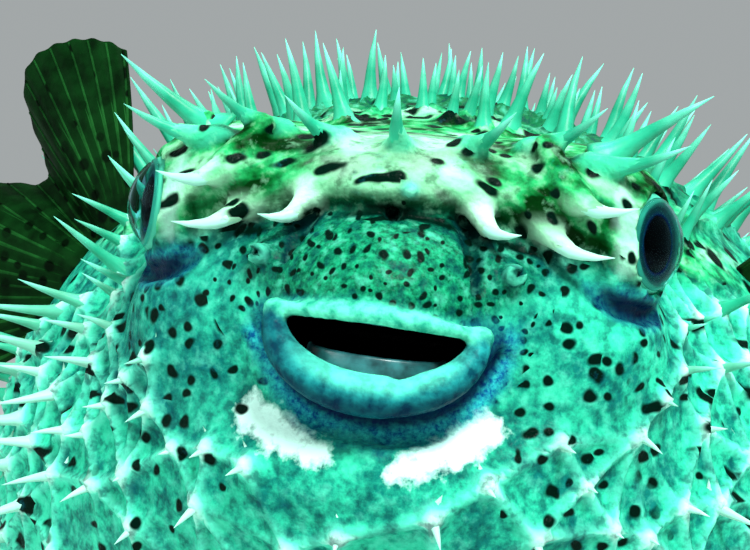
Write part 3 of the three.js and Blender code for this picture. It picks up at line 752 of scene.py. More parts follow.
def skin_material(settings):
    # Moist living skin over a tough hide: wet, so it shines softly, and finely pebbled.
    material, tree, place = new_material("Moist Porcupinefish Hide")
    region = {name: add(tree, "ShaderNodeAttribute", attribute_name=name).outputs["Fac"] for name in MARKED}
    faint = {
        name: add(tree, "ShaderNodeMath", {0: region[name], 1: share}, operation="MULTIPLY").outputs[0]
        for name, share in FAINT.items()
    }
    # Clouds about 12 mm across, speckle about 1.6 mm across and wrinkles about 4 mm apart.
    cloud, speck, wrinkle = (
        add(tree, "ShaderNodeTexNoise", {
            "Vector": place, "Scale": 1 / (size * MM), "Detail": detail, "Roughness": rough,
        }).outputs["Fac"]
        for size, detail, rough in ((12, 5.0, 0.72), (1.6, 2.0, 0.7), (4, 4.0, 0.55))
    )
    patch = add(tree, "ShaderNodeMapRange", {
        "Value": cloud, "From Min": 0.38, "From Max": 0.64,
    }, interpolation_type="SMOOTHSTEP").outputs[0]
    # Each share: what it follows, where it begins, where it is full, and its most.
    grain, wave, raised, peak, low, top = (
        add(tree, "ShaderNodeMapRange", {
            "Value": value, "From Min": begins, "From Max": full, "To Max": most,
        }).outputs[0]
        for value, begins, full, most in (
            (speck, 0.35, 0.7, 1.0),
            (wrinkle, 0.36, 0.62, 1.0),
            # The next two: the raised skin round the spines is paler, partly its own colour and partly a
            # painted highlight.
            (region["mound"], 0.14, 0.72, 1.0),
            (region["mound"], 0.52, 0.9, 1.0),
            # The next two follow the wrinkles: painted shade in their depths and a painted highlight on their
            # tops.
            (wrinkle, 0.5, 0.34, 0.65),
            (wrinkle, 0.52, 0.7, 0.32),
        )
    )
    off_brow = add(tree, "ShaderNodeMath", {
        0: raised, 1: region["brow"],
    }, operation="SUBTRACT", use_clamp=True).outputs[0]
    # The white marks on the throat, partly a painted highlight, are frayed by speckle and wrinkles, so that
    # no edge is even.
    noisy = add(tree, "ShaderNodeMath", {
        0: speck, 1: 0.3, 2: region["pale"],
    }, operation="MULTIPLY_ADD").outputs[0]
    frayed = add(tree, "ShaderNodeMath", {0: wrinkle, 1: 1.4, 2: noisy}, operation="MULTIPLY_ADD").outputs[0]
    white = add(tree, "ShaderNodeMapRange", {"Value": frayed, "From Min": 1.22, "From Max": 1.6}).outputs[0]
    # The painted shade round the lower lip is frayed by the clouds.
    frayed = add(tree, "ShaderNodeMath", {0: region["crease_shade"], 1: cloud}, operation="ADD").outputs[0]
    dark = add(tree, "ShaderNodeMapRange", {"Value": frayed, "From Min": 0.6, "From Max": 1.3}).outputs[0]
    # The painted highlight on the lower lip is broken up by the wrinkles.
    smooth = add(tree, "ShaderNodeMapRange", {"Value": wave, "To Min": 0.5, "To Max": 0.9}).outputs[0]
    lit = add(tree, "ShaderNodeMath", {0: region["lip_lit"], 1: smooth}, operation="MULTIPLY").outputs[0]
    # Painted shade in the snout's folds, under the brow and in the nostrils.
    under = add(tree, "ShaderNodeMath", {
        0: faint["fold"], 1: region["under_brow_shade"],
    }, operation="MAXIMUM").outputs[0]
    # The colours that the coats below lay on: the snout's, the painted shade of the hollows, the painted
    # highlight on the wrinkles' tops, the painted shade round the creases, and the lips'.
    snout, sunk, wrinkle_top_highlight, blue, lower_lip, upper_lip = (
        add(tree, "ShaderNodeMix", {0: share, 6: first, 7: second}, data_type="RGBA").outputs[2]
        for share, first, second in (
            (grain, settings.snout, settings.snout_pale),
            (region["brow"], settings.hollow, settings.brow_furrow_shade),
            (region["brow"], settings.pale, settings.brow_cream),
            (grain, settings.crease_shade, settings.crease_shade_pale),
            (wave, settings.lip, settings.lip_pale),
            (wave, settings.upper_lip_deep, settings.upper_lip),
        )
    )
    ribs = add(tree, "ShaderNodeAttribute", attribute_name="ribs").outputs["Vector"]
    rib, rib_colour = rib_pattern(tree, ribs, settings)
    # Each coat is a share and a colour, and is laid over those before it.
    colour = settings.flank
    for share, tone in (
        (patch, settings.flank_deep),
        # Painted shade on the right cheek.
        (faint["shadow"], settings.cheek),
        (region["back"], settings.back),
        (faint["belly"], settings.pale),
        (region["brow"], rib_colour),
        (region["cream"], settings.lobe),
        # The snout is darker, partly as painted shade under the fold of the brow.
        (region["snout"], snout),
        # The raised skin round the spines is paler and whitest at its peaks, partly its own colour and partly
        # a painted highlight.
        (off_brow, settings.pale),
        (peak, settings.peak),
        # Painted shade in the hollows.
        (faint["hollow"], sunk),
        # Wrinkles mottle it all, following their own bump: painted shade in their depths and a painted
        # highlight along their tops.
        (low, sunk),
        (top, wrinkle_top_highlight),
        (region["ring"], settings.pale),
        (region["sleeve"], settings.sleeve),
        (region["lobe"], settings.lobe),
        (region["lid"], settings.peak),
        # White marks on the throat, partly a painted highlight on the chin.
        (white, settings.highlight),
        (skin_spots(tree, place, ribs), settings.spot),
        # Painted shade round the creases under the lip and the eyes, and darker painted shade in their
        # depths.
        (dark, blue),
        (region["line"], settings.crease_depth_shade),
        (region["lower_lip"], lower_lip),
        # A painted highlight on top of the lower lip and painted shade under it.
        (lit, settings.pale),
        (faint["lip_shade"], settings.crease_depth_shade),
        (region["upper_lip"], upper_lip),
        # Painted shade in the snout's folds, under the brow and in the nostrils, in the colour of the spots.
        (under, settings.spot),
        # Painted shade inside the mouth.
        (region["inside"], settings.inside),
    ):
        colour = add(tree, "ShaderNodeMix", {0: share, 6: colour, 7: tone}, data_type="RGBA").outputs[2]
    gloss = add(tree, "ShaderNodeMapRange", {"Value": grain, "To Min": 0.25, "To Max": 0.5}).outputs[0]
    # Pebbling about 1 mm across.
    pebble = add(tree, "ShaderNodeTexVoronoi", {
        "Vector": place, "Scale": 1 / (1.1 * MM),
    }, feature="SMOOTH_F1").outputs["Distance"]
    ridge = add(tree, "ShaderNodeMath", {0: rib, 1: region["brow"]}, operation="MULTIPLY").outputs[0]
    ribbed = add(tree, "ShaderNodeBump", {"Height": ridge, "Strength": 0.8, "Distance": 3.0 * MM}).outputs[0]
    wrinkled = add(tree, "ShaderNodeBump", {
        "Height": wrinkle, "Strength": 0.6, "Distance": 1.2 * MM, "Normal": ribbed,
    }).outputs[0]
    pebbled = add(tree, "ShaderNodeBump", {
        "Height": pebble, "Strength": 0.3, "Distance": 0.25 * MM, "Normal": wrinkled,
    }, invert=True).outputs[0]
    return finished(material, {
        "Base Color": colour, "Roughness": gloss, "IOR": 1.33, "Specular IOR Level": 0.045, "Normal": pebbled,
    })


class FishSkinSettings(bpy.types.PropertyGroup):
    cell: bpy.props.FloatProperty(
        name="Finest Face", description="Edge length of the skin's faces on the snout",
        default=1.14 * MM, min=0.6 * MM, max=4 * MM, unit="LENGTH")
    mound: bpy.props.FloatProperty(
        name="Mound Height", description="How high the skin rises round a spine's root",
        default=4.4 * MM, min=0, max=6 * MM, unit="LENGTH")
    flank: colour_setting("Flank", "Colour of the flanks", "#2ecb9f")
    flank_deep: colour_setting("Flank Clouds", "Colour of the clouds on the flanks", "#0b7566")
    # Painted shade on the right cheek.
    cheek: colour_setting("Right Cheek", "Colour of the darker right cheek", "#07585a")
    back: colour_setting("Back", "Colour of the back", "#0d6238")
    # Also laid on the raised skin round the spines, partly as a painted highlight, and as a painted highlight
    # on the tops of the wrinkles and of the lower lip.
    pale: colour_setting("Belly", "Colour of the belly and the mounds", "#62edc8")
    # Partly a painted highlight on the chin.
    highlight: colour_setting("White Marks", "Colour of the white marks on the throat", "#ccfff0")
    # Round a spine, partly a painted highlight on the raised skin.
    peak: colour_setting("Peaks", "Colour of the skin right round a spine, and of the eyelids", "#bdf9e6")
    sleeve: colour_setting("Sleeves", "Colour of the sleeves of the slimmer brow spines", "#3ecb9e")
    # Lighter speckle in the painted shade round the creases.
    crease_shade_pale: colour_setting("Crease Speckle", "Colour of the speckle round the creases", "#2bbcb6")
    # Painted shade, in the skin's hollows and in the depths of its wrinkles.
    hollow: colour_setting("Hollows", "Colour of the skin in its hollows", "#022d38")
    brow: colour_setting("Brow", "Colour of the brow", "#0a7434")
    # Painted shade in the furrows between the brow's ribs and in the brow's hollows.
    brow_furrow_shade: colour_setting("Brow Furrows", "Colour between the ribs of the brow", "#012706")
    brow_pale: colour_setting("Brow Ribs", "Colour of the ribs of the brow", "#2cba6c")
    # Also the painted highlight on the tops of the brow's wrinkles.
    brow_cream: colour_setting("Rib Tops", "Colour along the tops of the ribs", "#9cf2bc")
    # Darker than the cheeks, partly as painted shade under the fold of the brow.
    snout: colour_setting("Snout", "Colour of the snout", "#045236")
    snout_pale: colour_setting("Snout Speckle", "Colour of the snout's speckle", "#179a6a")
    lip: colour_setting("Lower Lip", "Colour of the lower lip", "#054450")
    lip_pale: colour_setting("Lower Lip Speckle", "Colour of the lower lip's speckle", "#1c8e8c")
    lobe: colour_setting("Brow Lobes", "Colour of the lobes and the middle of the brow", "#b2f4cc")
    upper_lip_deep: colour_setting("Upper Lip Mottle", "Darker colour of the upper lip", "#1f9478")
    upper_lip: colour_setting("Upper Lip", "Colour of the upper lip", "#5ce0b6")
    # Painted shade round the creases, and the darkest painted shade in their depths and under the lower lip.
    crease_shade: colour_setting("Creases", "Colour round the creases under the lip and the eyes", "#0a4f80")
    crease_depth_shade: colour_setting("Crease Line", "Colour in the depth of the creases", "#010f30")
    # Also the colour of the painted shade in the snout's folds, under the brow and in the nostrils.
    spot: colour_setting("Spots", "Colour of the dark spots", "#00140c")
    # Painted shade inside the mouth.
    inside: colour_setting("Mouth", "Colour inside the mouth", "#000203")


class FISH_OT_skin(bpy.types.Operator):
    """Makes the one skin that covers head, trunk, tail stalk, lips and nostrils"""

    bl_idname = "fish.skin"
    bl_label = "Skin"

    def execute(self, context):
        settings = context.scene.fish_skin
        points, faces = skin_mesh(settings.cell / MM)
        normal = outward(points)
        regions = face_regions(points)
        spines = all_spines(context.scene.fish_spines)
        points, height = tented(points, normal, spines, settings.mound / MM)
        # The height of the raised skin, which the material paints paler, partly as a painted highlight.
        regions["mound"] = np.clip(height, 0, 1) * rise(330, 300, points[:, 2])
        skin = new_object("skin", points, faces)
        for name, values in regions.items():
            keep(skin.data, name, values)
        # Across and along the ribs of the brow, which run down and outwards on each side; the small
        # number under the root rounds the turn in the middle.
        x, y, z = points.T
        aside = np.sqrt(x * x + 60)
        across = 0.55 * aside + 0.83 * z + 0.3 * y
        ribs = np.stack([across, 0.83 * aside - 0.55 * z - 0.55 * y + 0.3 * x, 0 * x], 1)
        keep(skin.data, "ribs", ribs * MM, "FLOAT_VECTOR")
        declare(skin, skin_material(settings), "skin", "head", "trunk", "tail_stalk",
                "upper_lip", "lower_lip", "nostril_left", "nostril_right")
        return {"FINISHED"}


# ---- Spines -------------------------------------------------------------------------------


def solid_spines():
    """The spines of the solids: each root on the skin and its tip."""
    roots, tips = [], []
    for name in ("head", "trunk", "tail_stalk"):
        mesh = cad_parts[name].data
        loose = np.empty(len(mesh.vertices) * 3)
        mesh.vertices.foreach_get("co", loose)
        corner = np.empty(len(mesh.loops), int)
        mesh.loops.foreach_get("vertex_index", corner)
        place, merged = np.unique(np.round(loose.reshape(-1, 3) / MM, 2), axis=0, return_inverse=True)
        triangle = merged.ravel()[corner].reshape(-1, 3)
        edge = np.concatenate([triangle[:, (0, 1)], triangle[:, (1, 2)], triangle[:, (2, 0)]])
        out = plain_body(place)
        highest = np.full(len(place), -1e3)
        np.maximum.at(highest, edge[:, 0], out[edge[:, 1]])
        np.maximum.at(highest, edge[:, 1], out[edge[:, 0]])
        for tip in np.flatnonzero((out > 6) & (out > highest)):
            around = np.unique(edge[edge[:, 0] == tip, 1])
            roots.append(place[around].mean(0))
            tips.append(place[tip])
    return np.array(roots), np.array(tips)


# Where no spine grows, as middles and radii: round the mouth, the eye, the cheek and the pectoral
# fin's foot and top.
BARE_PLACES = (
    ((0, -194, 289), 49),
    ((69, -143, 310), 27),
    ((34, -168, 288), 34),
    ((112, -54, 282), 24),
    ((102, -60, 296), 20),
)
ROD_DEPTHS = (-42, 42)
ROD_CLEARANCE = 14


def is_bare(p):
    """Where no spine grows: face, brow, eyes, fin roots, the stalk, and where the rods stand."""
    x, y, z = p.T
    bare = ((y < -96) & (z > 312)) | (y > 134) | ((np.abs(x) < 8) & (y > 88))
    for middle, radius in BARE_PLACES:
        bare |= size_of(left_side(p) - middle) < radius
    for depth in ROD_DEPTHS:
        bare |= (np.hypot(x, y - depth) < ROD_CLEARANCE) & (z < TRUNK[2])
    return bare


def spiral_roots(count):
    """Evenly spaced places all over the plain body, on a golden-angle spiral from face to tail."""
    i = np.arange(count)
    level = 1 - (2 * i + 1) / count
    ring = np.sqrt(1 - level * level)
    turn = i * math.pi * (3 - math.sqrt(5))
    way = np.stack([ring * np.cos(turn), -level, ring * np.sin(turn)], 1)
    reach = np.full(count, 260.0)
    for _ in range(60):
        reach -= 0.8 * plain_body(TRUNK + way * reach[:, None])
    return TRUNK + way * reach[:, None]


# For a spine between those of the solids: how much it leans like the nearest of these, how widely its
# aim scatters, and the least and most of that one's length.
LEAN = 0.8
SCATTER = 0.07
SHORTER = (0.62, 0.92)
BEND = (0.01, 0.05)  # least and most sideways bend of any spine, as a share of its length
_spines = {}  # worked out once, for the skin and for the spines themselves


def all_spines(settings):
    """Every spine: root, aim, reach, girth, sag, side, how pale it is, and whether it stands on a
    mound of its own."""
    if _spines:
        return _spines
    rng = np.random.default_rng(settings.seed)
    root, tip = solid_spines()
    brow = np.zeros(len(root), bool)
    bow = np.zeros((len(root), 3))
    for start, end, hang in bare_brow_bones():
        number = np.argmin(size_of(tip - end))
        brow[number] = True
        root[number], tip[number], bow[number] = start, end, hang
    aim = unit(tip - root)
    for _ in range(12):
        root = root - aim * (np.where(brow, 0, 0.8) * skin_distance(root))[:, None]
    extra = spiral_roots(settings.places)
    extra = extra[~is_bare(extra)]
    chosen = list(root)
    spacing = settings.spacing / MM
    for place in extra:
        if min(size_of(np.array(chosen) - place)) > spacing:
            chosen.append(place)
    extra = np.array(chosen[len(root):])
    nearest = np.array([np.argmin(size_of(root - place)) for place in extra])
    normal = unit(slope_of(plain_body, extra, 0.5))
    jitter = rng.normal(0, SCATTER, (len(extra), 3))
    extra_aim = unit(normal + aim[nearest] * LEAN + jitter)
    extra_reach = size_of(tip - root)[nearest] * rng.uniform(*SHORTER, len(extra))
    at = np.concatenate([root, extra])
    aim = np.concatenate([aim, extra_aim])
    reach = np.concatenate([size_of(tip - root), extra_reach])
    mound = np.concatenate([1 - brow, np.ones(len(extra))])
    cross = rng.normal(0, 1, (len(at), 3))
    side = unit(cross - aim * (cross * aim).sum(1)[:, None])
    sag = side * (reach * rng.uniform(*BEND, len(at)))[:, None]
    sag[: len(brow)][brow] = bow[brow]
    girth = settings.girth / MM * (0.45 + reach / 50) * (1 + 0.22 * rise(305, 325, at[:, 2]))
    girth[: len(brow)][brow] = settings.brow_girth / MM
    low_front = rise(285, 250, at[:, 2]) * rise(-60, -110, at[:, 1])
    drooping = (1 - mound) * rise(326, 320, at[:, 2])
    pale = np.maximum(0.8 * drooping, 0.85 * low_front) * rng.uniform(0.8, 1, len(at))
    _spines.update(at=at, aim=aim, reach=reach, mound=mound, side=side, sag=sag, girth=girth, pale=pale)
    return _spines


def bare_brow_bones():
    """The bones of the sheathed brow spines: where each starts in its sheath, its tip, and its hang."""
    found = []
    for number, (side, _, _) in enumerate(BROW_SPINES):
        start, end = brow_line(number, (FREE_FROM, 1.0))
        hang = droop_of(number) * (1 - FREE_FROM) ** 2
        for sign in (1, -1) if side else (1,):
            found.append([part * (sign, 1, 1) for part in (start, end, hang)])
    return found


TAPER = ((0.08, 0.74), (0.2, 0.46), (0.34, 0.33), (0.6, 0.22), (0.85, 0.1))  # width along a spine
TIP_WIDTH = 0.012
PATCH = 0.003  # width of each spine's patch on the bake's map


def spine_tree(material):
    """Node tree: one flared, three-armed spine on every point, turned, scaled and bent by its attributes."""
    tree = bpy.data.node_groups.new("Spine Coat", "GeometryNodeTree")
    face = tree.interface
    face.new_socket("Geometry", in_out="OUTPUT", socket_type="NodeSocketGeometry")
    face.new_socket("Geometry", in_out="INPUT", socket_type="NodeSocketGeometry")
    for name, kind in (
        ("Sides", "NodeSocketInt"), ("Segments", "NodeSocketInt"), ("Flare", "NodeSocketFloat"),
        ("Widest", "NodeSocketFloat"), ("Arm Size", "NodeSocketFloat"), ("Sunk Share", "NodeSocketFloat"),
    ):
        face.new_socket(name, in_out="INPUT", socket_type=kind)
    given = add(tree, "NodeGroupInput").outputs
    pole = add(tree, "GeometryNodeMeshCylinder", {
        "Vertices": given["Sides"], "Side Segments": given["Segments"], "Radius": 1.0, "Depth": 1.0,
    }, fill_type="TRIANGLE_FAN")
    patched = add(tree, "GeometryNodeStoreNamedAttribute", {
        "Geometry": pole.outputs["Mesh"], "Name": "patch", "Value": pole.outputs["UV Map"],
    }, data_type="FLOAT2", domain="CORNER")
    where = add(tree, "ShaderNodeSeparateXYZ", {0: add(tree, "GeometryNodeInputPosition").outputs[0]}).outputs
    even = add(tree, "ShaderNodeMath", {0: where["Z"], 1: 0.5}, operation="ADD").outputs[0]
    climb = add(tree, "ShaderNodeMath", {0: even, 1: 1.7}, operation="POWER").outputs[0]
    marked = add(tree, "GeometryNodeStoreNamedAttribute", {
        "Geometry": patched.outputs[0], "Name": "climb", "Value": climb,
    }, data_type="FLOAT", domain="POINT")
    curve = add(tree, "ShaderNodeFloatCurve", {"Value": climb})
    line = curve.mapping.curves[0]
    line.points[0].location = (0, 1)
    line.points[1].location = (1, TIP_WIDTH)
    for at, wide in TAPER:
        line.points.new(at, wide)
    curve.mapping.update()
    turn = add(tree, "ShaderNodeMath", {0: where["Y"], 1: where["X"]}, operation="ARCTAN2").outputs[0]
    thrice = add(tree, "ShaderNodeMath", {0: turn, 1: 3.0}, operation="MULTIPLY").outputs[0]
    wave = add(tree, "ShaderNodeMath", {0: thrice}, operation="COSINE").outputs[0]
    left = add(tree, "ShaderNodeMath", {0: 1.0, 1: even}, operation="SUBTRACT").outputs[0]
    fade = add(tree, "ShaderNodeMath", {0: left, 1: 3.0}, operation="POWER").outputs[0]
    armed = add(tree, "ShaderNodeMath", {0: wave, 1: fade}, operation="MULTIPLY").outputs[0]
    swell = add(tree, "ShaderNodeMath", {
        0: armed, 1: given["Arm Size"], 2: 1.0,
    }, operation="MULTIPLY_ADD").outputs[0]
    held = add(tree, "ShaderNodeMath", {
        0: curve.outputs[0], 1: given["Widest"],
    }, operation="MINIMUM").outputs[0]
    wide = add(tree, "ShaderNodeMath", {0: held, 1: given["Flare"]}, operation="MULTIPLY").outputs[0]
    radius = add(tree, "ShaderNodeMath", {0: wide, 1: swell}, operation="MULTIPLY").outputs[0]
    x = add(tree, "ShaderNodeMath", {0: where["X"], 1: radius}, operation="MULTIPLY").outputs[0]
    y = add(tree, "ShaderNodeMath", {0: where["Y"], 1: radius}, operation="MULTIPLY").outputs[0]
    whole = add(tree, "ShaderNodeMath", {0: 1.0, 1: given["Sunk Share"]}, operation="ADD").outputs[0]
    lifted = add(tree, "ShaderNodeMath", {0: climb, 1: whole}, operation="MULTIPLY").outputs[0]
    z = add(tree, "ShaderNodeMath", {0: lifted, 1: given["Sunk Share"]}, operation="SUBTRACT").outputs[0]
    shape = add(tree, "ShaderNodeCombineXYZ", {0: x, 1: y, 2: z}).outputs[0]
    spine = add(tree, "GeometryNodeSetPosition", {"Geometry": marked.outputs[0], "Position": shape})
    read = {
        name: add(tree, "GeometryNodeInputNamedAttribute", {"Name": name}, data_type=kind).outputs[0]
        for name, kind in (("aim", "FLOAT_VECTOR"), ("side", "FLOAT_VECTOR"), ("size", "FLOAT_VECTOR"),
                           ("sag", "FLOAT_VECTOR"), ("unwrap", "FLOAT_VECTOR"), ("patch", "FLOAT_VECTOR"),
                           ("climb", "FLOAT"))
    }
    facing = add(tree, "FunctionNodeAxesToRotation", {0: read["aim"], 1: read["side"]},
                 primary_axis="Z", secondary_axis="X")
    placed = add(tree, "GeometryNodeInstanceOnPoints", {
        "Points": given["Geometry"], "Instance": spine.outputs[0], "Rotation": facing.outputs[0],
        "Scale": read["size"],
    })
    whole_coat = add(tree, "GeometryNodeRealizeInstances", {"Geometry": placed.outputs[0]})
    rest = add(tree, "ShaderNodeMath", {0: 1.0, 1: read["climb"]}, operation="SUBTRACT").outputs[0]
    arch = add(tree, "ShaderNodeMath", {0: read["climb"], 1: rest}, operation="MULTIPLY").outputs[0]
    arch4 = add(tree, "ShaderNodeMath", {0: arch, 1: 4.0}, operation="MULTIPLY").outputs[0]
    shift = add(tree, "ShaderNodeVectorMath", {0: read["sag"], "Scale": arch4}, operation="SCALE").outputs[0]
    bent = add(tree, "GeometryNodeSetPosition", {"Geometry": whole_coat.outputs[0], "Offset": shift})
    # Each spine keeps its patch of the bake, at its root's place on the unwrap.
    small = add(tree, "ShaderNodeVectorMath", {
        0: read["patch"], "Scale": PATCH,
    }, operation="SCALE").outputs[0]
    spot = add(tree, "ShaderNodeVectorMath", {0: read["unwrap"], 1: small}, operation="ADD").outputs[0]
    baked = add(tree, "GeometryNodeStoreNamedAttribute", {
        "Geometry": bent.outputs[0], "Name": "OFBake", "Value": spot,
    }, data_type="FLOAT2", domain="CORNER")
    smooth = add(tree, "GeometryNodeSetShadeSmooth", {"Geometry": baked.outputs[0]})
    real = add(tree, "GeometryNodeRealizeInstances", {"Geometry": smooth.outputs[0]})
    dressed = add(tree, "GeometryNodeSetMaterial", {"Geometry": real.outputs[0], "Material": material})
    add(tree, "NodeGroupOutput", {0: dressed.outputs[0]})
    return tree


def spine_material(settings):
    # Bone under a thin tight sheath of skin: smooth and satin, pale at the tip.
    material, tree, place = new_material("Skin Sheathed Bone Spine")
    climb, pale = (
        add(tree, "ShaderNodeAttribute", attribute_name=name).outputs["Fac"] for name in ("climb", "pale")
    )
    # Clouds about 8 mm long, so that no two spines match, and growth streaks about 1 mm apart.
    cloud, streak = (
        add(tree, "ShaderNodeTexNoise", {
            "Vector": place, "Scale": 1 / (size * MM), "Detail": 2.0,
        }).outputs["Fac"]
        for size in (8, 1.2)
    )
    ramp = add(tree, "ShaderNodeValToRGB", {"Fac": climb})
    stops = ramp.color_ramp.elements
    stops[0].position, stops[0].color = 0.0, settings.root
    stops[1].position, stops[1].color = 1.0, settings.tip
    for at, tone in ((0.12, settings.sheath), (0.5, settings.shaft)):
        stops.new(at).color = tone
    patch = add(tree, "ShaderNodeMapRange", {
        "Value": cloud, "From Min": 0.4, "From Max": 0.65, "To Max": 0.45,
    }).outputs[0]
    colour = ramp.outputs[0]
    for share, tone in ((patch, settings.shade), (pale, settings.pale)):
        colour = add(tree, "ShaderNodeMix", {0: share, 6: colour, 7: tone}, data_type="RGBA").outputs[2]
    gloss = add(tree, "ShaderNodeMapRange", {"Value": streak, "To Min": 0.32, "To Max": 0.5}).outputs[0]
    bump = add(tree, "ShaderNodeBump", {"Height": streak, "Strength": 0.25, "Distance": 0.2 * MM}).outputs[0]
    return finished(material, {
        "Base Color": colour, "Roughness": gloss, "Specular IOR Level": 0.2, "Normal": bump,
    })


class FishSpineSettings(bpy.types.PropertyGroup):
    places: bpy.props.IntProperty(
        name="Places", description="Places on the body that are tried for a shorter spine", default=2600,
        min=100)
    spacing: bpy.props.FloatProperty(
        name="Spacing", description="Least distance between the roots of two spines", default=13.0 * MM,
        min=6 * MM, unit="LENGTH")
    girth: bpy.props.FloatProperty(
        name="Girth", description="Radius of a spine of middling length near its base", default=1.95 * MM,
        min=0.5 * MM, unit="LENGTH")
    brow_girth: bpy.props.FloatProperty(
        name="Brow Girth", description="Radius of a brow spine near its base", default=1.4 * MM, min=0.5 * MM,
        unit="LENGTH")
    sides: bpy.props.IntProperty(name="Sides", description="Sides of a spine", default=9, min=5, max=12)
    segments: bpy.props.IntProperty(
        name="Segments", description="Steps from a spine's root to its tip", default=6, min=3, max=8)
    flare: bpy.props.FloatProperty(
        name="Flare", description="How much wider a spine is where it leaves the skin", default=2.9, min=1)
    arm: bpy.props.FloatProperty(
        name="Arm Size", description="How far the three arms of a flank spine's foot stand out", default=0.85,
        min=0, max=1)
    crown_arm: bpy.props.FloatProperty(
        name="Crown Arm Size", description="The same for the spines of the crown and back", default=0.25,
        min=0, max=1)
    sunk: bpy.props.FloatProperty(
        name="Sunk Share", description="Share of a spine's length that is hidden in the skin", default=0.12,
        min=0, max=0.5)
    brow_flare: bpy.props.FloatProperty(
        name="Brow Flare", description="How wide a brow spine is in its sheath", default=4.0, min=1)
    brow_widest: bpy.props.FloatProperty(
        name="Brow Widest", description="The most that a brow spine widens at its foot", default=0.36, min=0,
        max=1)
    seed: bpy.props.IntProperty(name="Seed", description="Which even scatter of bends is used", default=4)
    root: colour_setting("Root", "Colour where a spine leaves the skin", "#0c9468")
    sheath: colour_setting("Sheath", "Colour of the sheath", "#34c097")
    shaft: colour_setting("Shaft", "Colour of the shaft", "#1aa07a")
    tip: colour_setting("Tip", "Colour of the tip", "#7ae6c8")
    pale: colour_setting("White Spines", "Colour of the brow's and the throat's spines", "#b6f5e0")
    shade: colour_setting("Clouds", "Colour of the clouds on the spines", "#067a55")


CROWN = 300  # height above which the spines stand on the crown or the back
# The unwrap of the body runs round its length, and from here on along it.
UNWRAP_START = -220
UNWRAP_LENGTH = 480


class FISH_OT_spines(bpy.types.Operator):
    """Makes the spines of the flanks, of the crown and of the brow"""

    bl_idname = "fish.spines"
    bl_label = "Spines"

    def execute(self, context):
        settings = context.scene.fish_spines
        spines = all_spines(settings)
        material = spine_material(settings)
        tree = spine_tree(material)
        common = {"Sides": settings.sides, "Segments": settings.segments, "Sunk Share": settings.sunk}
        flared = {"Flare": settings.flare, "Widest": 1.0}
        sheathed = {"Flare": settings.brow_flare, "Widest": settings.brow_widest, "Arm Size": 0.0}
        on_brow = spines["mound"] < 0.5
        on_crown = (spines["at"][:, 2] > CROWN) & ~on_brow
        for name, chosen, shape in (
            ("flank_spines", ~on_brow & ~on_crown, flared | {"Arm Size": settings.arm}),
            ("crown_spines", on_crown, flared | {"Arm Size": settings.crown_arm}),
            ("brow_spines", on_brow, sheathed),
        ):
            at = spines["at"][chosen]
            length = spines["reach"][chosen] * MM
            girth = spines["girth"][chosen] * MM
            around = np.arctan2(at[:, 0], at[:, 2] - TRUNK[2]) / (2 * math.pi) + 0.5
            along = (at[:, 1] - UNWRAP_START) / UNWRAP_LENGTH
            points = new_object("spine_roots", at, [])
            mesh = points.data
            keep(mesh, "aim", spines["aim"][chosen], "FLOAT_VECTOR")
            keep(mesh, "side", spines["side"][chosen], "FLOAT_VECTOR")
            keep(mesh, "sag", spines["sag"][chosen] * MM, "FLOAT_VECTOR")
            keep(mesh, "pale", spines["pale"][chosen])
            keep(mesh, "size", np.stack([girth, girth, length], 1), "FLOAT_VECTOR")
            keep(mesh, "unwrap", np.stack([around, along, 0 * along], 1), "FLOAT_VECTOR")
            coat = points.modifiers.new("Coat", "NODES")
            coat.node_group = tree
            set_inputs(coat, common | shape)
            declare(plain_result(points, name), None, "spine")
        return {"FINISHED"}


# ---- Eyes ---------------------------------------------------------------------------------

# The eyes swivel by themselves: the left one looks further forward than the right.
GAZES = {"left": (0.85, -0.52, 0.06), "right": (-0.93, -0.38, 0.08)}
IRIS_HEIGHT = 10.6  # how far the iris lies ahead of the eyeball's middle
BALL_RADIUS = EYE_RADIUS - 0.25  # the ball stays clear of its socket
IRIS_RADIUS = math.sqrt(BALL_RADIUS**2 - IRIS_HEIGHT**2)
EYE_TURNS = 72  # steps round an eyeball and its cornea
PLAIN_BALL = 1.4  # the share that marks the ball behind the iris, past the iris's own rim at 1


def eye_middle(side):
    """The middle of the left or the right eyeball."""
    return EYE * ((1 if side == "left" else -1), 1, 1)


def eyeball_mesh(side, pupil):
    """The ball behind the iris, the iris, and the lens that bulges through the pupil; and each
    point's distance from the line of sight as a share of the iris."""
    back = math.acos(-0.995)
    front = math.atan2(IRIS_RADIUS, IRIS_HEIGHT)
    profile = [(BALL_RADIUS * math.sin(a), BALL_RADIUS * math.cos(a)) for a in np.linspace(back, front, 22)]
    # From the rim over the iris to the edge of the pupil, then the bulge of the lens.
    profile += [
        (IRIS_RADIUS - 0.5, IRIS_HEIGHT + 0.1),
        (IRIS_RADIUS - 1.4, IRIS_HEIGHT - 0.35),
        (pupil + 1.2, IRIS_HEIGHT - 0.5),
        (pupil + 0.35, IRIS_HEIGHT - 0.3),
        (pupil, IRIS_HEIGHT - 0.7),
    ]
    profile += [
        (pupil * math.sin(a), IRIS_HEIGHT - 0.9 + 2.4 * math.cos(a))
        for a in np.linspace(math.pi / 2, 0.06, 9)
    ]
    middle = eye_middle(side)
    points, faces = lathe(profile, EYE_TURNS, middle, GAZES[side])
    sight = unit(np.array(GAZES[side]))
    rel = points - middle
    height = rel @ sight
    ring = size_of(rel - height[:, None] * sight) / IRIS_RADIUS
    return points, faces, np.where(height > IRIS_HEIGHT - 3, ring, PLAIN_BALL)


def cornea_mesh(side):
    """The clear dome over the iris, as a thin closed shell."""
    outer, inner = EYE_RADIUS, EYE_RADIUS - 0.6
    widest = math.acos((IRIS_HEIGHT - 0.4) / outer)
    profile = [(inner * math.sin(a), inner * math.cos(a)) for a in np.linspace(0.02, widest, 20)]
    profile += [(outer * math.sin(a), outer * math.cos(a)) for a in np.linspace(widest + 0.02, 0.02, 22)]
    return lathe(profile, EYE_TURNS, eye_middle(side), GAZES[side])


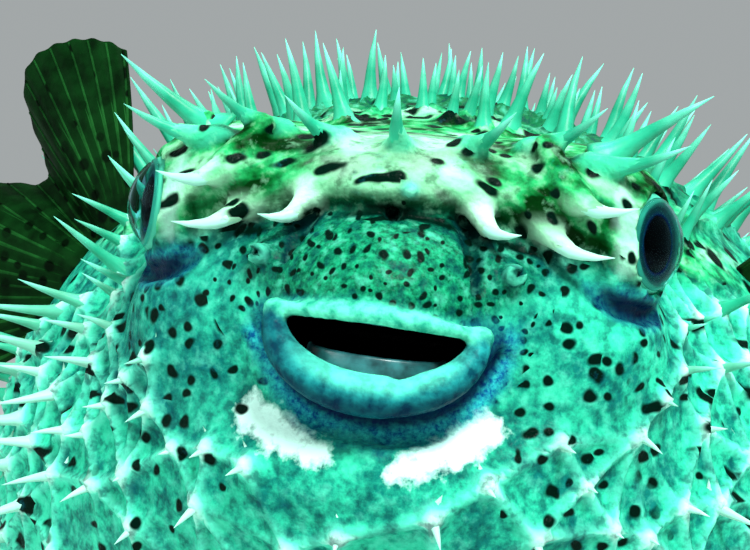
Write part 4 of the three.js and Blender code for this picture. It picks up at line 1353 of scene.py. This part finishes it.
def eye_material(settings, side):
    # A wet fish eye cast in resin: a deep black pupil in a dark iris, with a thin blue ring between.
    material, tree, place = new_material("Cast Resin Fish Iris " + side.title())
    ring = add(tree, "ShaderNodeAttribute", attribute_name="ring").outputs["Fac"]
    # Blotches about 2 mm across and flecks about 1 mm apart in the iris.
    blotch = add(tree, "ShaderNodeTexNoise", {
        "Vector": place, "Scale": 1 / (2 * MM), "Detail": 3.0,
    }).outputs["Fac"]
    fleck = add(tree, "ShaderNodeTexVoronoi", {"Vector": place, "Scale": 1 / (0.9 * MM)}).outputs["Distance"]
    shift = add(tree, "ShaderNodeMapRange", {"Value": blotch, "To Min": -0.03, "To Max": 0.03}).outputs[0]
    moved = add(tree, "ShaderNodeMath", {0: ring, 1: shift}, operation="ADD").outputs[0]
    ramp = add(tree, "ShaderNodeValToRGB", {"Fac": moved})
    stops = ramp.color_ramp.elements
    pupil = settings.pupil / MM / IRIS_RADIUS
    stops[0].position, stops[0].color = pupil - 0.02, settings.pupil_colour
    stops[1].position, stops[1].color = 1.0, settings.rim
    for at, tone in ((pupil + 0.03, settings.ring), (pupil + 0.12, settings.iris), (0.85, settings.iris)):
        stops.new(at).color = tone
    spark = add(tree, "ShaderNodeMapRange", {
        "Value": fleck, "From Min": 0.28, "From Max": 0.1, "To Max": 0.5,
    }).outputs[0]
    in_iris = add(tree, "ShaderNodeMath", {0: ring, 1: pupil + 0.05}, operation="GREATER_THAN").outputs[0]
    spark = add(tree, "ShaderNodeMath", {0: spark, 1: in_iris}, operation="MULTIPLY").outputs[0]
    colour = add(tree, "ShaderNodeMix", {
        0: spark, 6: ramp.outputs[0], 7: settings.rim,
    }, data_type="RGBA").outputs[2]
    gloss = add(tree, "ShaderNodeMapRange", {"Value": in_iris, "To Min": 0.08, "To Max": 0.35}).outputs[0]
    bump = add(tree, "ShaderNodeBump", {"Height": blotch, "Strength": 0.12, "Distance": 0.2 * MM}).outputs[0]
    return finished(material, {
        "Base Color": colour, "Roughness": gloss, "Specular IOR Level": 0.04, "Normal": bump,
    })


def cornea_material():
    # Clear cast acrylic, polished wet, with the faintest unevenness, as over a taxidermist's eye.
    material, tree, place = new_material("Polished Clear Acrylic Cornea")
    # Ripples about 7 mm across.
    ripple = add(tree, "ShaderNodeTexNoise", {"Vector": place, "Scale": 1 / (7 * MM)}).outputs["Fac"]
    bump = add(tree, "ShaderNodeBump", {"Height": ripple, "Strength": 0.05, "Distance": 0.3 * MM}).outputs[0]
    smear = add(tree, "ShaderNodeMapRange", {"Value": ripple, "To Min": 0.0, "To Max": 0.03}).outputs[0]
    return finished(material, {
        "Base Color": linear("#a6d6de"), "Roughness": smear, "Transmission Weight": 1.0, "IOR": 1.08,
        "Normal": bump,
    })


class FishEyeSettings(bpy.types.PropertyGroup):
    pupil: bpy.props.FloatProperty(
        name="Pupil", description="Radius of the pupil", default=7.6 * MM, min=3 * MM, max=10 * MM,
        unit="LENGTH")
    pupil_colour: colour_setting("Pupil Colour", "Colour of the pupil", "#000002")
    ring: colour_setting("Ring", "Colour of the thin ring round the pupil", "#06285c")
    iris: colour_setting("Iris", "Colour of the iris", "#0a423e")
    rim: colour_setting("Rim", "Colour of the pale rim and the eyeball", "#3fb090")


class FISH_OT_eyes(bpy.types.Operator):
    """Makes both eyeballs and the clear corneas over them"""

    bl_idname = "fish.eyes"
    bl_label = "Eyes"

    def execute(self, context):
        settings = context.scene.fish_eyes
        clear = cornea_material()
        for side in GAZES:
            points, faces, ring = eyeball_mesh(side, settings.pupil / MM)
            eye = new_object("eyeball_" + side, points, faces)
            keep(eye.data, "ring", ring)
            declare(eye, eye_material(settings, side), "eye", "eye_" + side)
            declare(new_object("cornea_" + side, *cornea_mesh(side)), clear, "cornea")
        return {"FINISHED"}


# ---- Beak ---------------------------------------------------------------------------------


BEAK_HALF_WIDTH = 18.8
BEAK_BOW = 14.8  # how far the middle of a plate stands ahead of its ends
BEAK_THICKNESS = 3.2
BEAK_SETBACK = 17  # how far its ends lie behind the lips
# Bottom and top of each plate, from the middle of the mouth.
BEAK_PLATES = {"lower": (-11.9, -2.3), "upper": (5.5, 12.3)}


def beak_mesh(low, high, upper):
    """A horseshoe of fused tooth between two heights, thicker at its root, with a blunt rounded edge."""
    line = BEAK_THICKNESS / 2
    turns = np.linspace(math.pi, 2 * math.pi, 61)
    edge = np.linspace(0, 2 * math.pi, 20, endpoint=False)
    rings = []
    for turn in turns:
        out = np.array((math.cos(turn), math.sin(turn)))
        ridge = 0.25 * math.cos(14 * turn)
        across = np.sign(np.cos(edge)) * np.abs(np.cos(edge)) ** 0.6 * (line - 0.25)
        up = np.sign(np.sin(edge)) * np.abs(np.sin(edge)) ** 0.6
        biting = up * (-1 if upper else 1)
        across = across * np.where(biting > 0, 0.72, 1) + 0.2 * ridge
        height = (low + high) / 2 + up * (high - low) / 2
        reach_x = (BEAK_HALF_WIDTH - line + across) * out[0]
        reach_y = BEAK_SETBACK + (BEAK_BOW - line + across) * out[1]
        rings.append(mouth_points(reach_x, reach_y, height))
    count = len(edge)
    ring = np.arange(count)
    faces = []
    for i in range(len(rings) - 1):
        a, b = i * count, (i + 1) * count
        faces += np.stack([a + ring, b + ring, b + (ring + 1) % count, a + (ring + 1) % count], 1).tolist()
    faces.append(ring.tolist())
    faces.append((ring + (len(rings) - 1) * count)[::-1].tolist())
    return np.concatenate(rings), faces


def beak_material(settings):
    # Fused tooth: enamel worn to a satin shine, stained near the gum, in fine layers.
    material, tree, place = new_material("Worn Beak Enamel")
    # Growth layers about 0.8 mm apart across the plate, and stains about 5 mm across.
    flat = add(tree, "ShaderNodeMapping", {"Vector": place, "Scale": (0.15, 0.15, 1.0)}).outputs[0]
    layer = add(tree, "ShaderNodeTexNoise", {
        "Vector": flat, "Scale": 1 / (0.8 * MM), "Detail": 2.0,
    }).outputs["Fac"]
    stain = add(tree, "ShaderNodeTexNoise", {
        "Vector": place, "Scale": 1 / (5 * MM), "Detail": 3.0,
    }).outputs["Fac"]
    share = add(tree, "ShaderNodeMapRange", {"Value": stain, "From Min": 0.35, "From Max": 0.65}).outputs[0]
    colour = add(tree, "ShaderNodeMix", {
        0: share, 6: settings.enamel, 7: settings.stain,
    }, data_type="RGBA").outputs[2]
    gloss = add(tree, "ShaderNodeMapRange", {"Value": layer, "To Min": 0.22, "To Max": 0.4}).outputs[0]
    bump = add(tree, "ShaderNodeBump", {"Height": layer, "Strength": 0.3, "Distance": 0.15 * MM}).outputs[0]
    return finished(material, {"Base Color": colour, "Roughness": gloss, "Normal": bump})


class FishBeakSettings(bpy.types.PropertyGroup):
    enamel: colour_setting("Enamel", "Colour of the clean enamel", "#2f6f72")
    stain: colour_setting("Stain", "Colour of the stained enamel", "#10393c")


class FISH_OT_beak(bpy.types.Operator):
    """Makes the two plates of fused teeth inside the lips"""

    bl_idname = "fish.beak"
    bl_label = "Beak"

    def execute(self, context):
        material = beak_material(context.scene.fish_beak)
        for name, (low, high) in BEAK_PLATES.items():
            plate = new_object("tooth_plate_" + name, *beak_mesh(low, high, name == "upper"))
            declare(plate, material, "beak", "beak_" + name)
        return {"FINISHED"}


# ---- Fins ---------------------------------------------------------------------------------


PECTORAL_RAYS = 24


def pectoral(side, upper, lower, sweep, fold):
    """The fan of a pectoral fin: a function from (across, out), each 0 to 1, to its points."""

    def place(s, t):
        # A notch parts the fan in two lobes, and its edge is scalloped, one scallop to a ray.
        slope = np.radians(upper + (lower - upper) * s)
        notch = np.exp(-(((s - 0.4) / 0.1) ** 2))
        way = unit(np.stack([side * np.cos(slope), sweep + fold * notch, np.sin(slope)], -1))
        reach = 80 * (1 - 0.28 * notch - 0.3 * (s - 0.3) ** 2 - 0.2 * (1 - s) ** 8)
        reach = reach - 0.7 * (0.5 - 0.5 * np.cos(2 * math.pi * PECTORAL_RAYS * s))
        top = np.array((98.0 * side, -64, 300))
        foot = np.array((116.0 * side, -52, 266))
        root = top * (1 - s)[..., None] + foot * s[..., None]
        bow = np.array((side * 6.0, 6.0, 0))
        return root + way * (reach * t)[..., None] + bow * (t * t)[..., None]

    return place


def median(ahead, behind, lean_ahead, lean_behind, longest, roundness, sway):
    """The fan of a fin in the middle plane: a function from (across, out) to its points."""

    def place(s, t):
        lean = np.radians(lean_ahead + (lean_behind - lean_ahead) * s)
        reach = longest * (1 - roundness * np.abs(2 * s - 1) ** 2.5)
        root_y = ahead[0] + (behind[0] - ahead[0]) * s
        root_z = ahead[1] + (behind[1] - ahead[1]) * s
        y = root_y + np.cos(lean) * reach * t
        z = root_z + np.sin(lean) * reach * t
        return np.stack([sway * t * t, y, z], -1)

    return place


# Each fin's fan and its number of rays.
FINS = {
    "pectoral_fin_left": (pectoral(1, 38, -48, 0.75, 0.3), PECTORAL_RAYS),
    "pectoral_fin_right": (pectoral(-1, 84, -34, 0.3, 0.6), PECTORAL_RAYS),
    "dorsal_fin": (median((110, 292), (152, 280), 78, 22, 72, 0.3, 5), 15),
    "anal_fin": (median((124, 252), (158, 263), -74, -24, 62, 0.3, -4), 15),
    "caudal_fin": (median((206, 286), (206, 258), 30, -30, 78, 0.26, 10), 10),
}
WEB_ROWS = 44
COLUMNS_TO_A_RAY = 6
RAY_STEPS = 22


def wave(s, t):
    """How far a fin sways out of its fan, at these shares across it and out along it."""
    return 0.9 * np.sin(7 * s + 4 * t) * t * t


def fin_web(place, rays):
    """A closed thin sheet over a fin's fan, thick and fleshy at its root; and its across and out."""
    columns, rows = rays * COLUMNS_TO_A_RAY + 1, WEB_ROWS
    s, t = np.meshgrid(np.linspace(0, 1, columns), np.linspace(0, 1, rows), indexing="ij")
    middle = place(s, t * 0.995)
    step = 1e-3
    along = place(s, np.clip(t + step, 0, 1)) - place(s, np.clip(t - step, 0, 1))
    across = place(np.clip(s + step, 0, 1), t) - place(np.clip(s - step, 0, 1), t)
    face = unit(np.cross(across, along))
    ripple = 0.35 * np.sin(2 * math.pi * rays * s) * t + wave(s, t)
    middle = middle + face * ripple[..., None]
    half = 0.32 + 0.35 * (1 - t) + 1.9 * np.exp(-((t / 0.14) ** 2)) * (1 - np.abs(2 * s - 1) ** 4)
    upper, lower = middle + face * half[..., None], middle - face * half[..., None]
    points = np.concatenate([upper.reshape(-1, 3), lower.reshape(-1, 3)])
    index = np.arange(columns * rows).reshape(columns, rows)
    a, b, c, d = index[:-1, :-1], index[1:, :-1], index[1:, 1:], index[:-1, 1:]
    top = np.stack([a, b, c, d], -1).reshape(-1, 4)
    bottom = np.stack([d, c, b, a], -1).reshape(-1, 4) + columns * rows
    edge = np.concatenate([index[:, 0], index[-1, 1:], index[-2::-1, -1], index[0, -2:0:-1]])
    after = np.roll(edge, -1)
    wall = np.stack([after, edge, edge + columns * rows, after + columns * rows], -1)
    span = np.stack([s, t, 0 * s], -1).reshape(-1, 3)
    return points, np.concatenate([top, bottom, wall]), np.concatenate([span, span])


def ray_lines(place, rays):
    """The paths of a fin's rays, which fork halfway out: points, edges and each point's thickness."""
    points, edges, thick = [], [], []
    step = 1e-3
    for ray in range(rays):
        for fork in (-1, 1):
            t = np.linspace(0.02, 0.985, RAY_STEPS)
            parted = rise(0.35, 1.0, t) * 0.26
            s = np.clip((ray + 0.5 + fork * parted) / rays, 0, 1)
            path = place(s, t)
            across = place(np.clip(s + step, 0, 1), t) - place(np.clip(s - step, 0, 1), t)
            face = unit(np.cross(across, place(s, t + step) - place(s, t - step)))
            first = len(points) * RAY_STEPS
            points.append(path + face * wave(s, t)[:, None])
            edges += [(first + i, first + i + 1) for i in range(RAY_STEPS - 1)]
            thick.append(0.95 - 0.5 * t)
    return np.concatenate(points), edges, np.concatenate(thick)


def ray_tree(material):
    """Node tree: a round tapering ray along every edge, as thick as its points say."""
    tree = bpy.data.node_groups.new("Fin Rays", "GeometryNodeTree")
    face = tree.interface
    face.new_socket("Geometry", in_out="OUTPUT", socket_type="NodeSocketGeometry")
    face.new_socket("Geometry", in_out="INPUT", socket_type="NodeSocketGeometry")
    face.new_socket("Sides", in_out="INPUT", socket_type="NodeSocketInt")
    given = add(tree, "NodeGroupInput").outputs
    thick = add(tree, "GeometryNodeInputNamedAttribute", {"Name": "thick"}, data_type="FLOAT").outputs[0]
    lines = add(tree, "GeometryNodeMeshToCurve", {0: given["Geometry"]})
    circle = add(tree, "GeometryNodeCurvePrimitiveCircle", {"Resolution": given["Sides"], "Radius": 1.0})
    rods = add(tree, "GeometryNodeCurveToMesh", {
        "Curve": lines.outputs[0], "Profile Curve": circle.outputs[0], "Scale": thick, "Fill Caps": True,
    })
    smooth = add(tree, "GeometryNodeSetShadeSmooth", {"Geometry": rods.outputs[0]})
    real = add(tree, "GeometryNodeRealizeInstances", {"Geometry": smooth.outputs[0]})
    dressed = add(tree, "GeometryNodeSetMaterial", {"Geometry": real.outputs[0], "Material": material})
    add(tree, "NodeGroupOutput", {0: dressed.outputs[0]})
    return tree


def fin_material(settings, name, base, pale):
    # Thin wet skin stretched between the rays: satin, blotched, darker spots towards the root.
    material, tree, place = new_material(name)
    span = add(tree, "ShaderNodeAttribute", attribute_name="span").outputs["Vector"]
    out = add(tree, "ShaderNodeSeparateXYZ", {0: span}).outputs["Y"]
    # Blotches about 9 mm across, streaks about 1 mm wide, spots about 4 mm wide and 9 mm apart.
    blotch = add(tree, "ShaderNodeTexNoise", {
        "Vector": place, "Scale": 1 / (9 * MM), "Detail": 3.0,
    }).outputs["Fac"]
    fine = add(tree, "ShaderNodeTexNoise", {
        "Vector": place, "Scale": 1 / (1.1 * MM), "Detail": 2.0,
    }).outputs["Fac"]
    patch = add(tree, "ShaderNodeMapRange", {"Value": blotch, "From Min": 0.35, "From Max": 0.65}).outputs[0]
    seen = add(tree, "ShaderNodeMapping", {"Vector": place, "Rotation": (math.pi / 2, 0.0, 0.0)}).outputs[0]
    spots = spot_layer(tree, seen, 9 * MM, 4.6 * MM, "bare")
    fade = add(tree, "ShaderNodeMapRange", {"Value": out, "From Min": 0.9, "From Max": 0.3}).outputs[0]
    spots = add(tree, "ShaderNodeMath", {0: spots, 1: fade}, operation="MULTIPLY").outputs[0]
    colour = base
    for share, tone in ((patch, pale), (spots, settings.spot)):
        colour = add(tree, "ShaderNodeMix", {0: share, 6: colour, 7: tone}, data_type="RGBA").outputs[2]
    gloss = add(tree, "ShaderNodeMapRange", {"Value": fine, "To Min": 0.45, "To Max": 0.7}).outputs[0]
    bump = add(tree, "ShaderNodeBump", {"Height": fine, "Strength": 0.25, "Distance": 0.2 * MM}).outputs[0]
    return finished(material, {
        "Base Color": colour, "Roughness": gloss, "Specular IOR Level": 0.02, "Normal": bump,
    })


class FishFinSettings(bpy.types.PropertyGroup):
    sides: bpy.props.IntProperty(name="Ray Sides", description="Sides of a fin ray", default=6, min=4, max=12)
    web: colour_setting("Web", "Colour of the fin webs", "#011403")
    web_pale: colour_setting("Web Blotches", "Colour of the paler blotches on the webs", "#052a0b")
    ray: colour_setting("Rays", "Colour of the rays", "#06290b")
    ray_pale: colour_setting("Ray Blotches", "Colour of the paler parts of the rays", "#14491c")
    spot: colour_setting("Spots", "Colour of the dark spots", "#000a01")


class FISH_OT_fins(bpy.types.Operator):
    """Makes the webs of the five fins and the rays in them"""

    bl_idname = "fish.fins"
    bl_label = "Fins"

    def execute(self, context):
        settings = context.scene.fish_fins
        web = fin_material(settings, "Wet Fin Web", settings.web, settings.web_pale)
        bone = fin_material(settings, "Soft Fin Ray", settings.ray, settings.ray_pale)
        tree = ray_tree(bone)
        for node, (place, rays) in FINS.items():
            points, faces, span = fin_web(place, rays)
            sheet = new_object(node.replace("_fin", "_web"), points, faces)
            keep(sheet.data, "span", span, "FLOAT_VECTOR")
            declare(sheet, web, "fin", node)
            points, edges, thick = ray_lines(place, rays)
            mesh = bpy.data.meshes.new("ray_lines")
            mesh.from_pydata((points * MM).tolist(), edges, [])
            keep(mesh, "thick", thick * MM)
            lines = bpy.data.objects.new("ray_lines", mesh)
            context.scene.collection.objects.link(lines)
            rays_made = lines.modifiers.new("Rays", "NODES")
            rays_made.node_group = tree
            set_inputs(rays_made, {"Sides": settings.sides})
            declare(plain_result(lines, node.replace("_fin", "_rays")), None, "fin")
        return {"FINISHED"}


# ---- Stand --------------------------------------------------------------------------------


def wood_material(settings):
    # Beech stained black under satin lacquer: even and dark, with the grain just showing.
    material, tree, place = new_material("Black Stained Lacquered Beech")
    # Grain about 1 mm wide and 30 mm long, drawn a little coarser than real beech, and bands 14 mm wide.
    long = add(tree, "ShaderNodeMapping", {"Vector": place, "Scale": (1.0, 0.04, 1.0)}).outputs[0]
    grain = add(tree, "ShaderNodeTexNoise", {
        "Vector": long, "Scale": 1 / (1.2 * MM), "Detail": 3.0,
    }).outputs["Fac"]
    band = add(tree, "ShaderNodeTexNoise", {
        "Vector": long, "Scale": 1 / (14 * MM), "Detail": 2.0,
    }).outputs["Fac"]
    both = add(tree, "ShaderNodeMath", {0: grain, 1: band}, operation="MULTIPLY").outputs[0]
    share = add(tree, "ShaderNodeMapRange", {"Value": both, "From Min": 0.15, "From Max": 0.4}).outputs[0]
    colour = add(tree, "ShaderNodeMix", {
        0: share, 6: settings.stain, 7: settings.grain,
    }, data_type="RGBA").outputs[2]
    gloss = add(tree, "ShaderNodeMapRange", {"Value": grain, "To Min": 0.22, "To Max": 0.34}).outputs[0]
    bump = add(tree, "ShaderNodeBump", {"Height": grain, "Strength": 0.08, "Distance": 0.1 * MM}).outputs[0]
    return finished(material, {"Base Color": colour, "Roughness": gloss, "Normal": bump})


def steel_material():
    # Stainless steel rod, drawn and brushed round: fine rings that streak its shine.
    material, tree, place = new_material("Brushed Stainless Steel")
    # Brush rings about 0.3 mm apart up the rod.
    rings = add(tree, "ShaderNodeMapping", {"Vector": place, "Scale": (0.08, 0.08, 1.0)}).outputs[0]
    brush = add(tree, "ShaderNodeTexNoise", {
        "Vector": rings, "Scale": 1 / (0.3 * MM), "Detail": 2.0,
    }).outputs["Fac"]
    colour = add(tree, "ShaderNodeMix", {
        0: brush, 6: linear("#a9abad"), 7: linear("#c9cacc"),
    }, data_type="RGBA").outputs[2]
    gloss = add(tree, "ShaderNodeMapRange", {"Value": brush, "To Min": 0.22, "To Max": 0.42}).outputs[0]
    bump = add(tree, "ShaderNodeBump", {"Height": brush, "Strength": 0.1, "Distance": 0.05 * MM}).outputs[0]
    return finished(material, {"Base Color": colour, "Metallic": 1.0, "Roughness": gloss, "Normal": bump})


class FishStandSettings(bpy.types.PropertyGroup):
    stain: colour_setting("Stain", "Colour of the base", "#141312")
    grain: colour_setting("Grain", "Colour of the base's grain", "#2a2624")


def rounded(corners, radius, steps=5):
    """A profile with each inner corner rounded off."""
    found = [corners[0]]
    for before, here, after in zip(corners[:-2], corners[1:-1], corners[2:]):
        here = np.array(here, float)
        into, out = unit(here - before), unit(np.array(after, float) - here)
        for share in np.linspace(0, 1, steps):
            a, b = here - into * radius * (1 - share), here + out * radius * share
            found.append(tuple(a * (1 - share) + b * share))
    return found + [corners[-1]]


class FISH_OT_stand(bpy.types.Operator):
    """Makes the round base and the two steel rods with their collars"""

    bl_idname = "fish.stand"
    bl_label = "Stand"

    def execute(self, context):
        wood, steel = wood_material(context.scene.fish_stand), steel_material()
        low, high = (np.array(corner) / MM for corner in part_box("stand_base"))
        wide, tall = high[0] - 0.1, high[2]
        corners = [(0.5, 0.0), (wide - 2, 0.0), (wide, 1.5), (wide, tall - 4), (wide - 4, tall), (0.5, tall)]
        base = new_object("base_disc", *lathe(rounded(corners, 1.2), 160, (0, 0, 0), (0, 0, 1)))
        declare(base, wood, "stand_base", "stand_base")
        for name in ("front", "rear"):
            low, high = (np.array(corner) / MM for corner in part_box("stand_rod_" + name))
            depth = (low[1] + high[1]) / 2
            foot = tall + 0.1
            corners = [(0.5, foot), (11.5, foot), (11.5, foot + 3.5), (7.5, foot + 5), (5.05, foot + 5),
                       (5.05, high[2] + 4), (0.5, high[2] + 4)]
            rod = new_object("rod_" + name, *lathe(rounded(corners, 0.6), 48, (0, depth, 0), (0, 0, 1)))
            declare(rod, steel, "stand_rod", "stand_rod_" + name)
        return {"FINISHED"}


# ---- Stage --------------------------------------------------------------------------------


# Lamps: name, place, target and width in metres, power in watts, and colour.
LAMPS = (
    ("key", (0.36, -0.9, 1.35), (0, -0.1, 0.26), 0.4, 36, (0.94, 1.0, 0.99)),
    ("fill", (-1.1, -0.6, 0.6), (0, -0.1, 0.26), 0.9, 7, (0.95, 1.0, 1.0)),
    ("top", (0.25, 0.35, 1.5), (0, 0, 0.25), 0.9, 12, (1.0, 1.0, 1.0)),
)
SKY_STRENGTH = 0.46
FLOOR_RADIUS = 6000
FLOOR_SIDES = 96
SENSOR_WIDTH = 36.0


def soft_light(name, place, target, size, power, colour):
    """A round lamp of this width that faces a target."""
    lamp = bpy.data.lights.new(name, "AREA")
    lamp.shape = "DISK"
    lamp.size = size
    lamp.energy = power
    lamp.color = colour
    obj = bpy.data.objects.new(name, lamp)
    obj.location = place
    obj.rotation_euler = (Vector(target) - Vector(place)).to_track_quat("-Z", "Y").to_euler()
    bpy.context.scene.collection.objects.link(obj)


def place_camera(settings):
    """The camera: it looks at the middle between the eyes, a little off its own axis, and leans."""
    aim = Vector((0, EYE[1] * MM, EYE[2] * MM))
    around, above = settings.azimuth, settings.elevation
    back = Vector((math.sin(around) * math.cos(above), -math.cos(around) * math.cos(above), math.sin(above)))
    right = Vector((0, 0, 1)).cross(back).normalized()
    up = back.cross(right)
    lean = Matrix.Rotation(settings.lean, 3, back)
    frame_axes = Matrix((lean @ right, lean @ up, back)).transposed()
    off_axis = Vector((math.tan(settings.aside), math.tan(settings.over), -1)).normalized()
    straight = Vector((0, 0, -1)).rotation_difference(off_axis).to_matrix()
    turned = frame_axes @ straight.inverted()
    camera = bpy.data.cameras.new("camera")
    camera.lens = settings.lens
    camera.sensor_width = SENSOR_WIDTH
    camera.clip_start = 0.01
    obj = bpy.data.objects.new("camera", camera)
    obj.matrix_world = Matrix.Translation(aim + back * settings.distance) @ turned.to_4x4()
    bpy.context.scene.collection.objects.link(obj)
    bpy.context.scene.camera = obj


def floor_material():
    # Matt white paint on a smooth board, rolled on: even, with a very faint tooth.
    material, tree, place = new_material("Matt White Painted Board")
    # The roller's tooth is about 3 mm across.
    tooth = add(tree, "ShaderNodeTexNoise", {
        "Vector": place, "Scale": 1 / (3 * MM), "Detail": 2.0,
    }).outputs["Fac"]
    colour = add(tree, "ShaderNodeMix", {
        0: tooth, 6: linear("#d4d6d6"), 7: linear("#dcdedd"),
    }, data_type="RGBA").outputs[2]
    bump = add(tree, "ShaderNodeBump", {"Height": tooth, "Strength": 0.05, "Distance": 0.2 * MM}).outputs[0]
    return finished(material, {"Base Color": colour, "Roughness": 0.75, "Normal": bump})


class FishStageSettings(bpy.types.PropertyGroup):
    distance: bpy.props.FloatProperty(
        name="Distance", description="From the camera to the middle between the eyes", default=0.43,
        unit="LENGTH")
    azimuth: bpy.props.FloatProperty(
        name="Azimuth", description="How far the camera stands round to the animal's left",
        default=math.radians(5.7), subtype="ANGLE", unit="ROTATION")
    elevation: bpy.props.FloatProperty(
        name="Elevation", description="How far the camera stands above the eyes", default=math.radians(2.0),
        subtype="ANGLE", unit="ROTATION")
    lean: bpy.props.FloatProperty(
        name="Lean", description="How far the camera leans about its line of sight",
        default=math.radians(4.5), subtype="ANGLE", unit="ROTATION")
    aside: bpy.props.FloatProperty(
        name="Aside", description="How far to the right of the view's middle the eyes stand",
        default=math.radians(0.956), subtype="ANGLE", unit="ROTATION")
    over: bpy.props.FloatProperty(
        name="Over", description="How far above the view's middle the eyes stand",
        default=math.radians(1.838), subtype="ANGLE", unit="ROTATION")
    lens: bpy.props.FloatProperty(
        name="Lens", description="Focal length in millimetres on a 36 mm sensor", default=74.78, min=10)


class FISH_OT_stage(bpy.types.Operator):
    """Makes the floor, the soft lights and the camera"""

    bl_idname = "fish.stage"
    bl_label = "Stage"

    def execute(self, context):
        place_camera(context.scene.fish_stage)
        turns = np.arange(FLOOR_SIDES) * 2 * math.pi / FLOOR_SIDES
        # The floor lies a hair below the stand, so that the two don't share a plane.
        ring = np.stack([np.cos(turns), np.sin(turns), 0 * turns], 1) * FLOOR_RADIUS - (0, 0, 0.2)
        floor = new_object("floor", ring, [list(range(FLOOR_SIDES))])
        floor.data.materials.append(floor_material())
        world = bpy.data.worlds.new("studio")
        world.use_nodes = True
        sky = world.node_tree.nodes["Background"].inputs
        sky["Color"].default_value = linear("#e6edee")
        sky["Strength"].default_value = SKY_STRENGTH
        context.scene.world = world
        context.scene.view_settings.view_transform = "Standard"
        for lamp in LAMPS:
            soft_light(*lamp)
        return {"FINISHED"}


# ---- The add-on ---------------------------------------------------------------------------


class FISH_PT_model(bpy.types.Panel):
    """Lists each step with its settings"""

    bl_label = "Porcupinefish"
    bl_idname = "FISH_PT_model"
    bl_space_type = "VIEW_3D"
    bl_region_type = "UI"
    bl_category = "Fish"

    def draw(self, context):
        for kind, (group, settings) in STEPS:
            box = self.layout.box()
            box.operator(kind.bl_idname)
            for name in settings.__annotations__:
                box.prop(getattr(context.scene, group), name)


# Each operator with the name and the kind of its settings.
STEPS = (
    (FISH_OT_stage, ("fish_stage", FishStageSettings)),
    (FISH_OT_skin, ("fish_skin", FishSkinSettings)),
    (FISH_OT_spines, ("fish_spines", FishSpineSettings)),
    (FISH_OT_eyes, ("fish_eyes", FishEyeSettings)),
    (FISH_OT_beak, ("fish_beak", FishBeakSettings)),
    (FISH_OT_fins, ("fish_fins", FishFinSettings)),
    (FISH_OT_stand, ("fish_stand", FishStandSettings)),
)


def register():
    for kind, (name, settings) in STEPS:
        bpy.utils.register_class(settings)
        setattr(bpy.types.Scene, name, bpy.props.PointerProperty(type=settings))
        bpy.utils.register_class(kind)
    bpy.utils.register_class(FISH_PT_model)


def unregister():
    bpy.utils.unregister_class(FISH_PT_model)
    for kind, (name, settings) in reversed(STEPS):
        bpy.utils.unregister_class(kind)
        delattr(bpy.types.Scene, name)
        bpy.utils.unregister_class(settings)


def main():
    register()
    bpy.ops.fish.stage()
    bpy.ops.fish.skin()
    bpy.ops.fish.spines()
    bpy.ops.fish.eyes()
    bpy.ops.fish.beak()
    bpy.ops.fish.fins()
    bpy.ops.fish.stand()


if __name__ == "__main__":
    main()
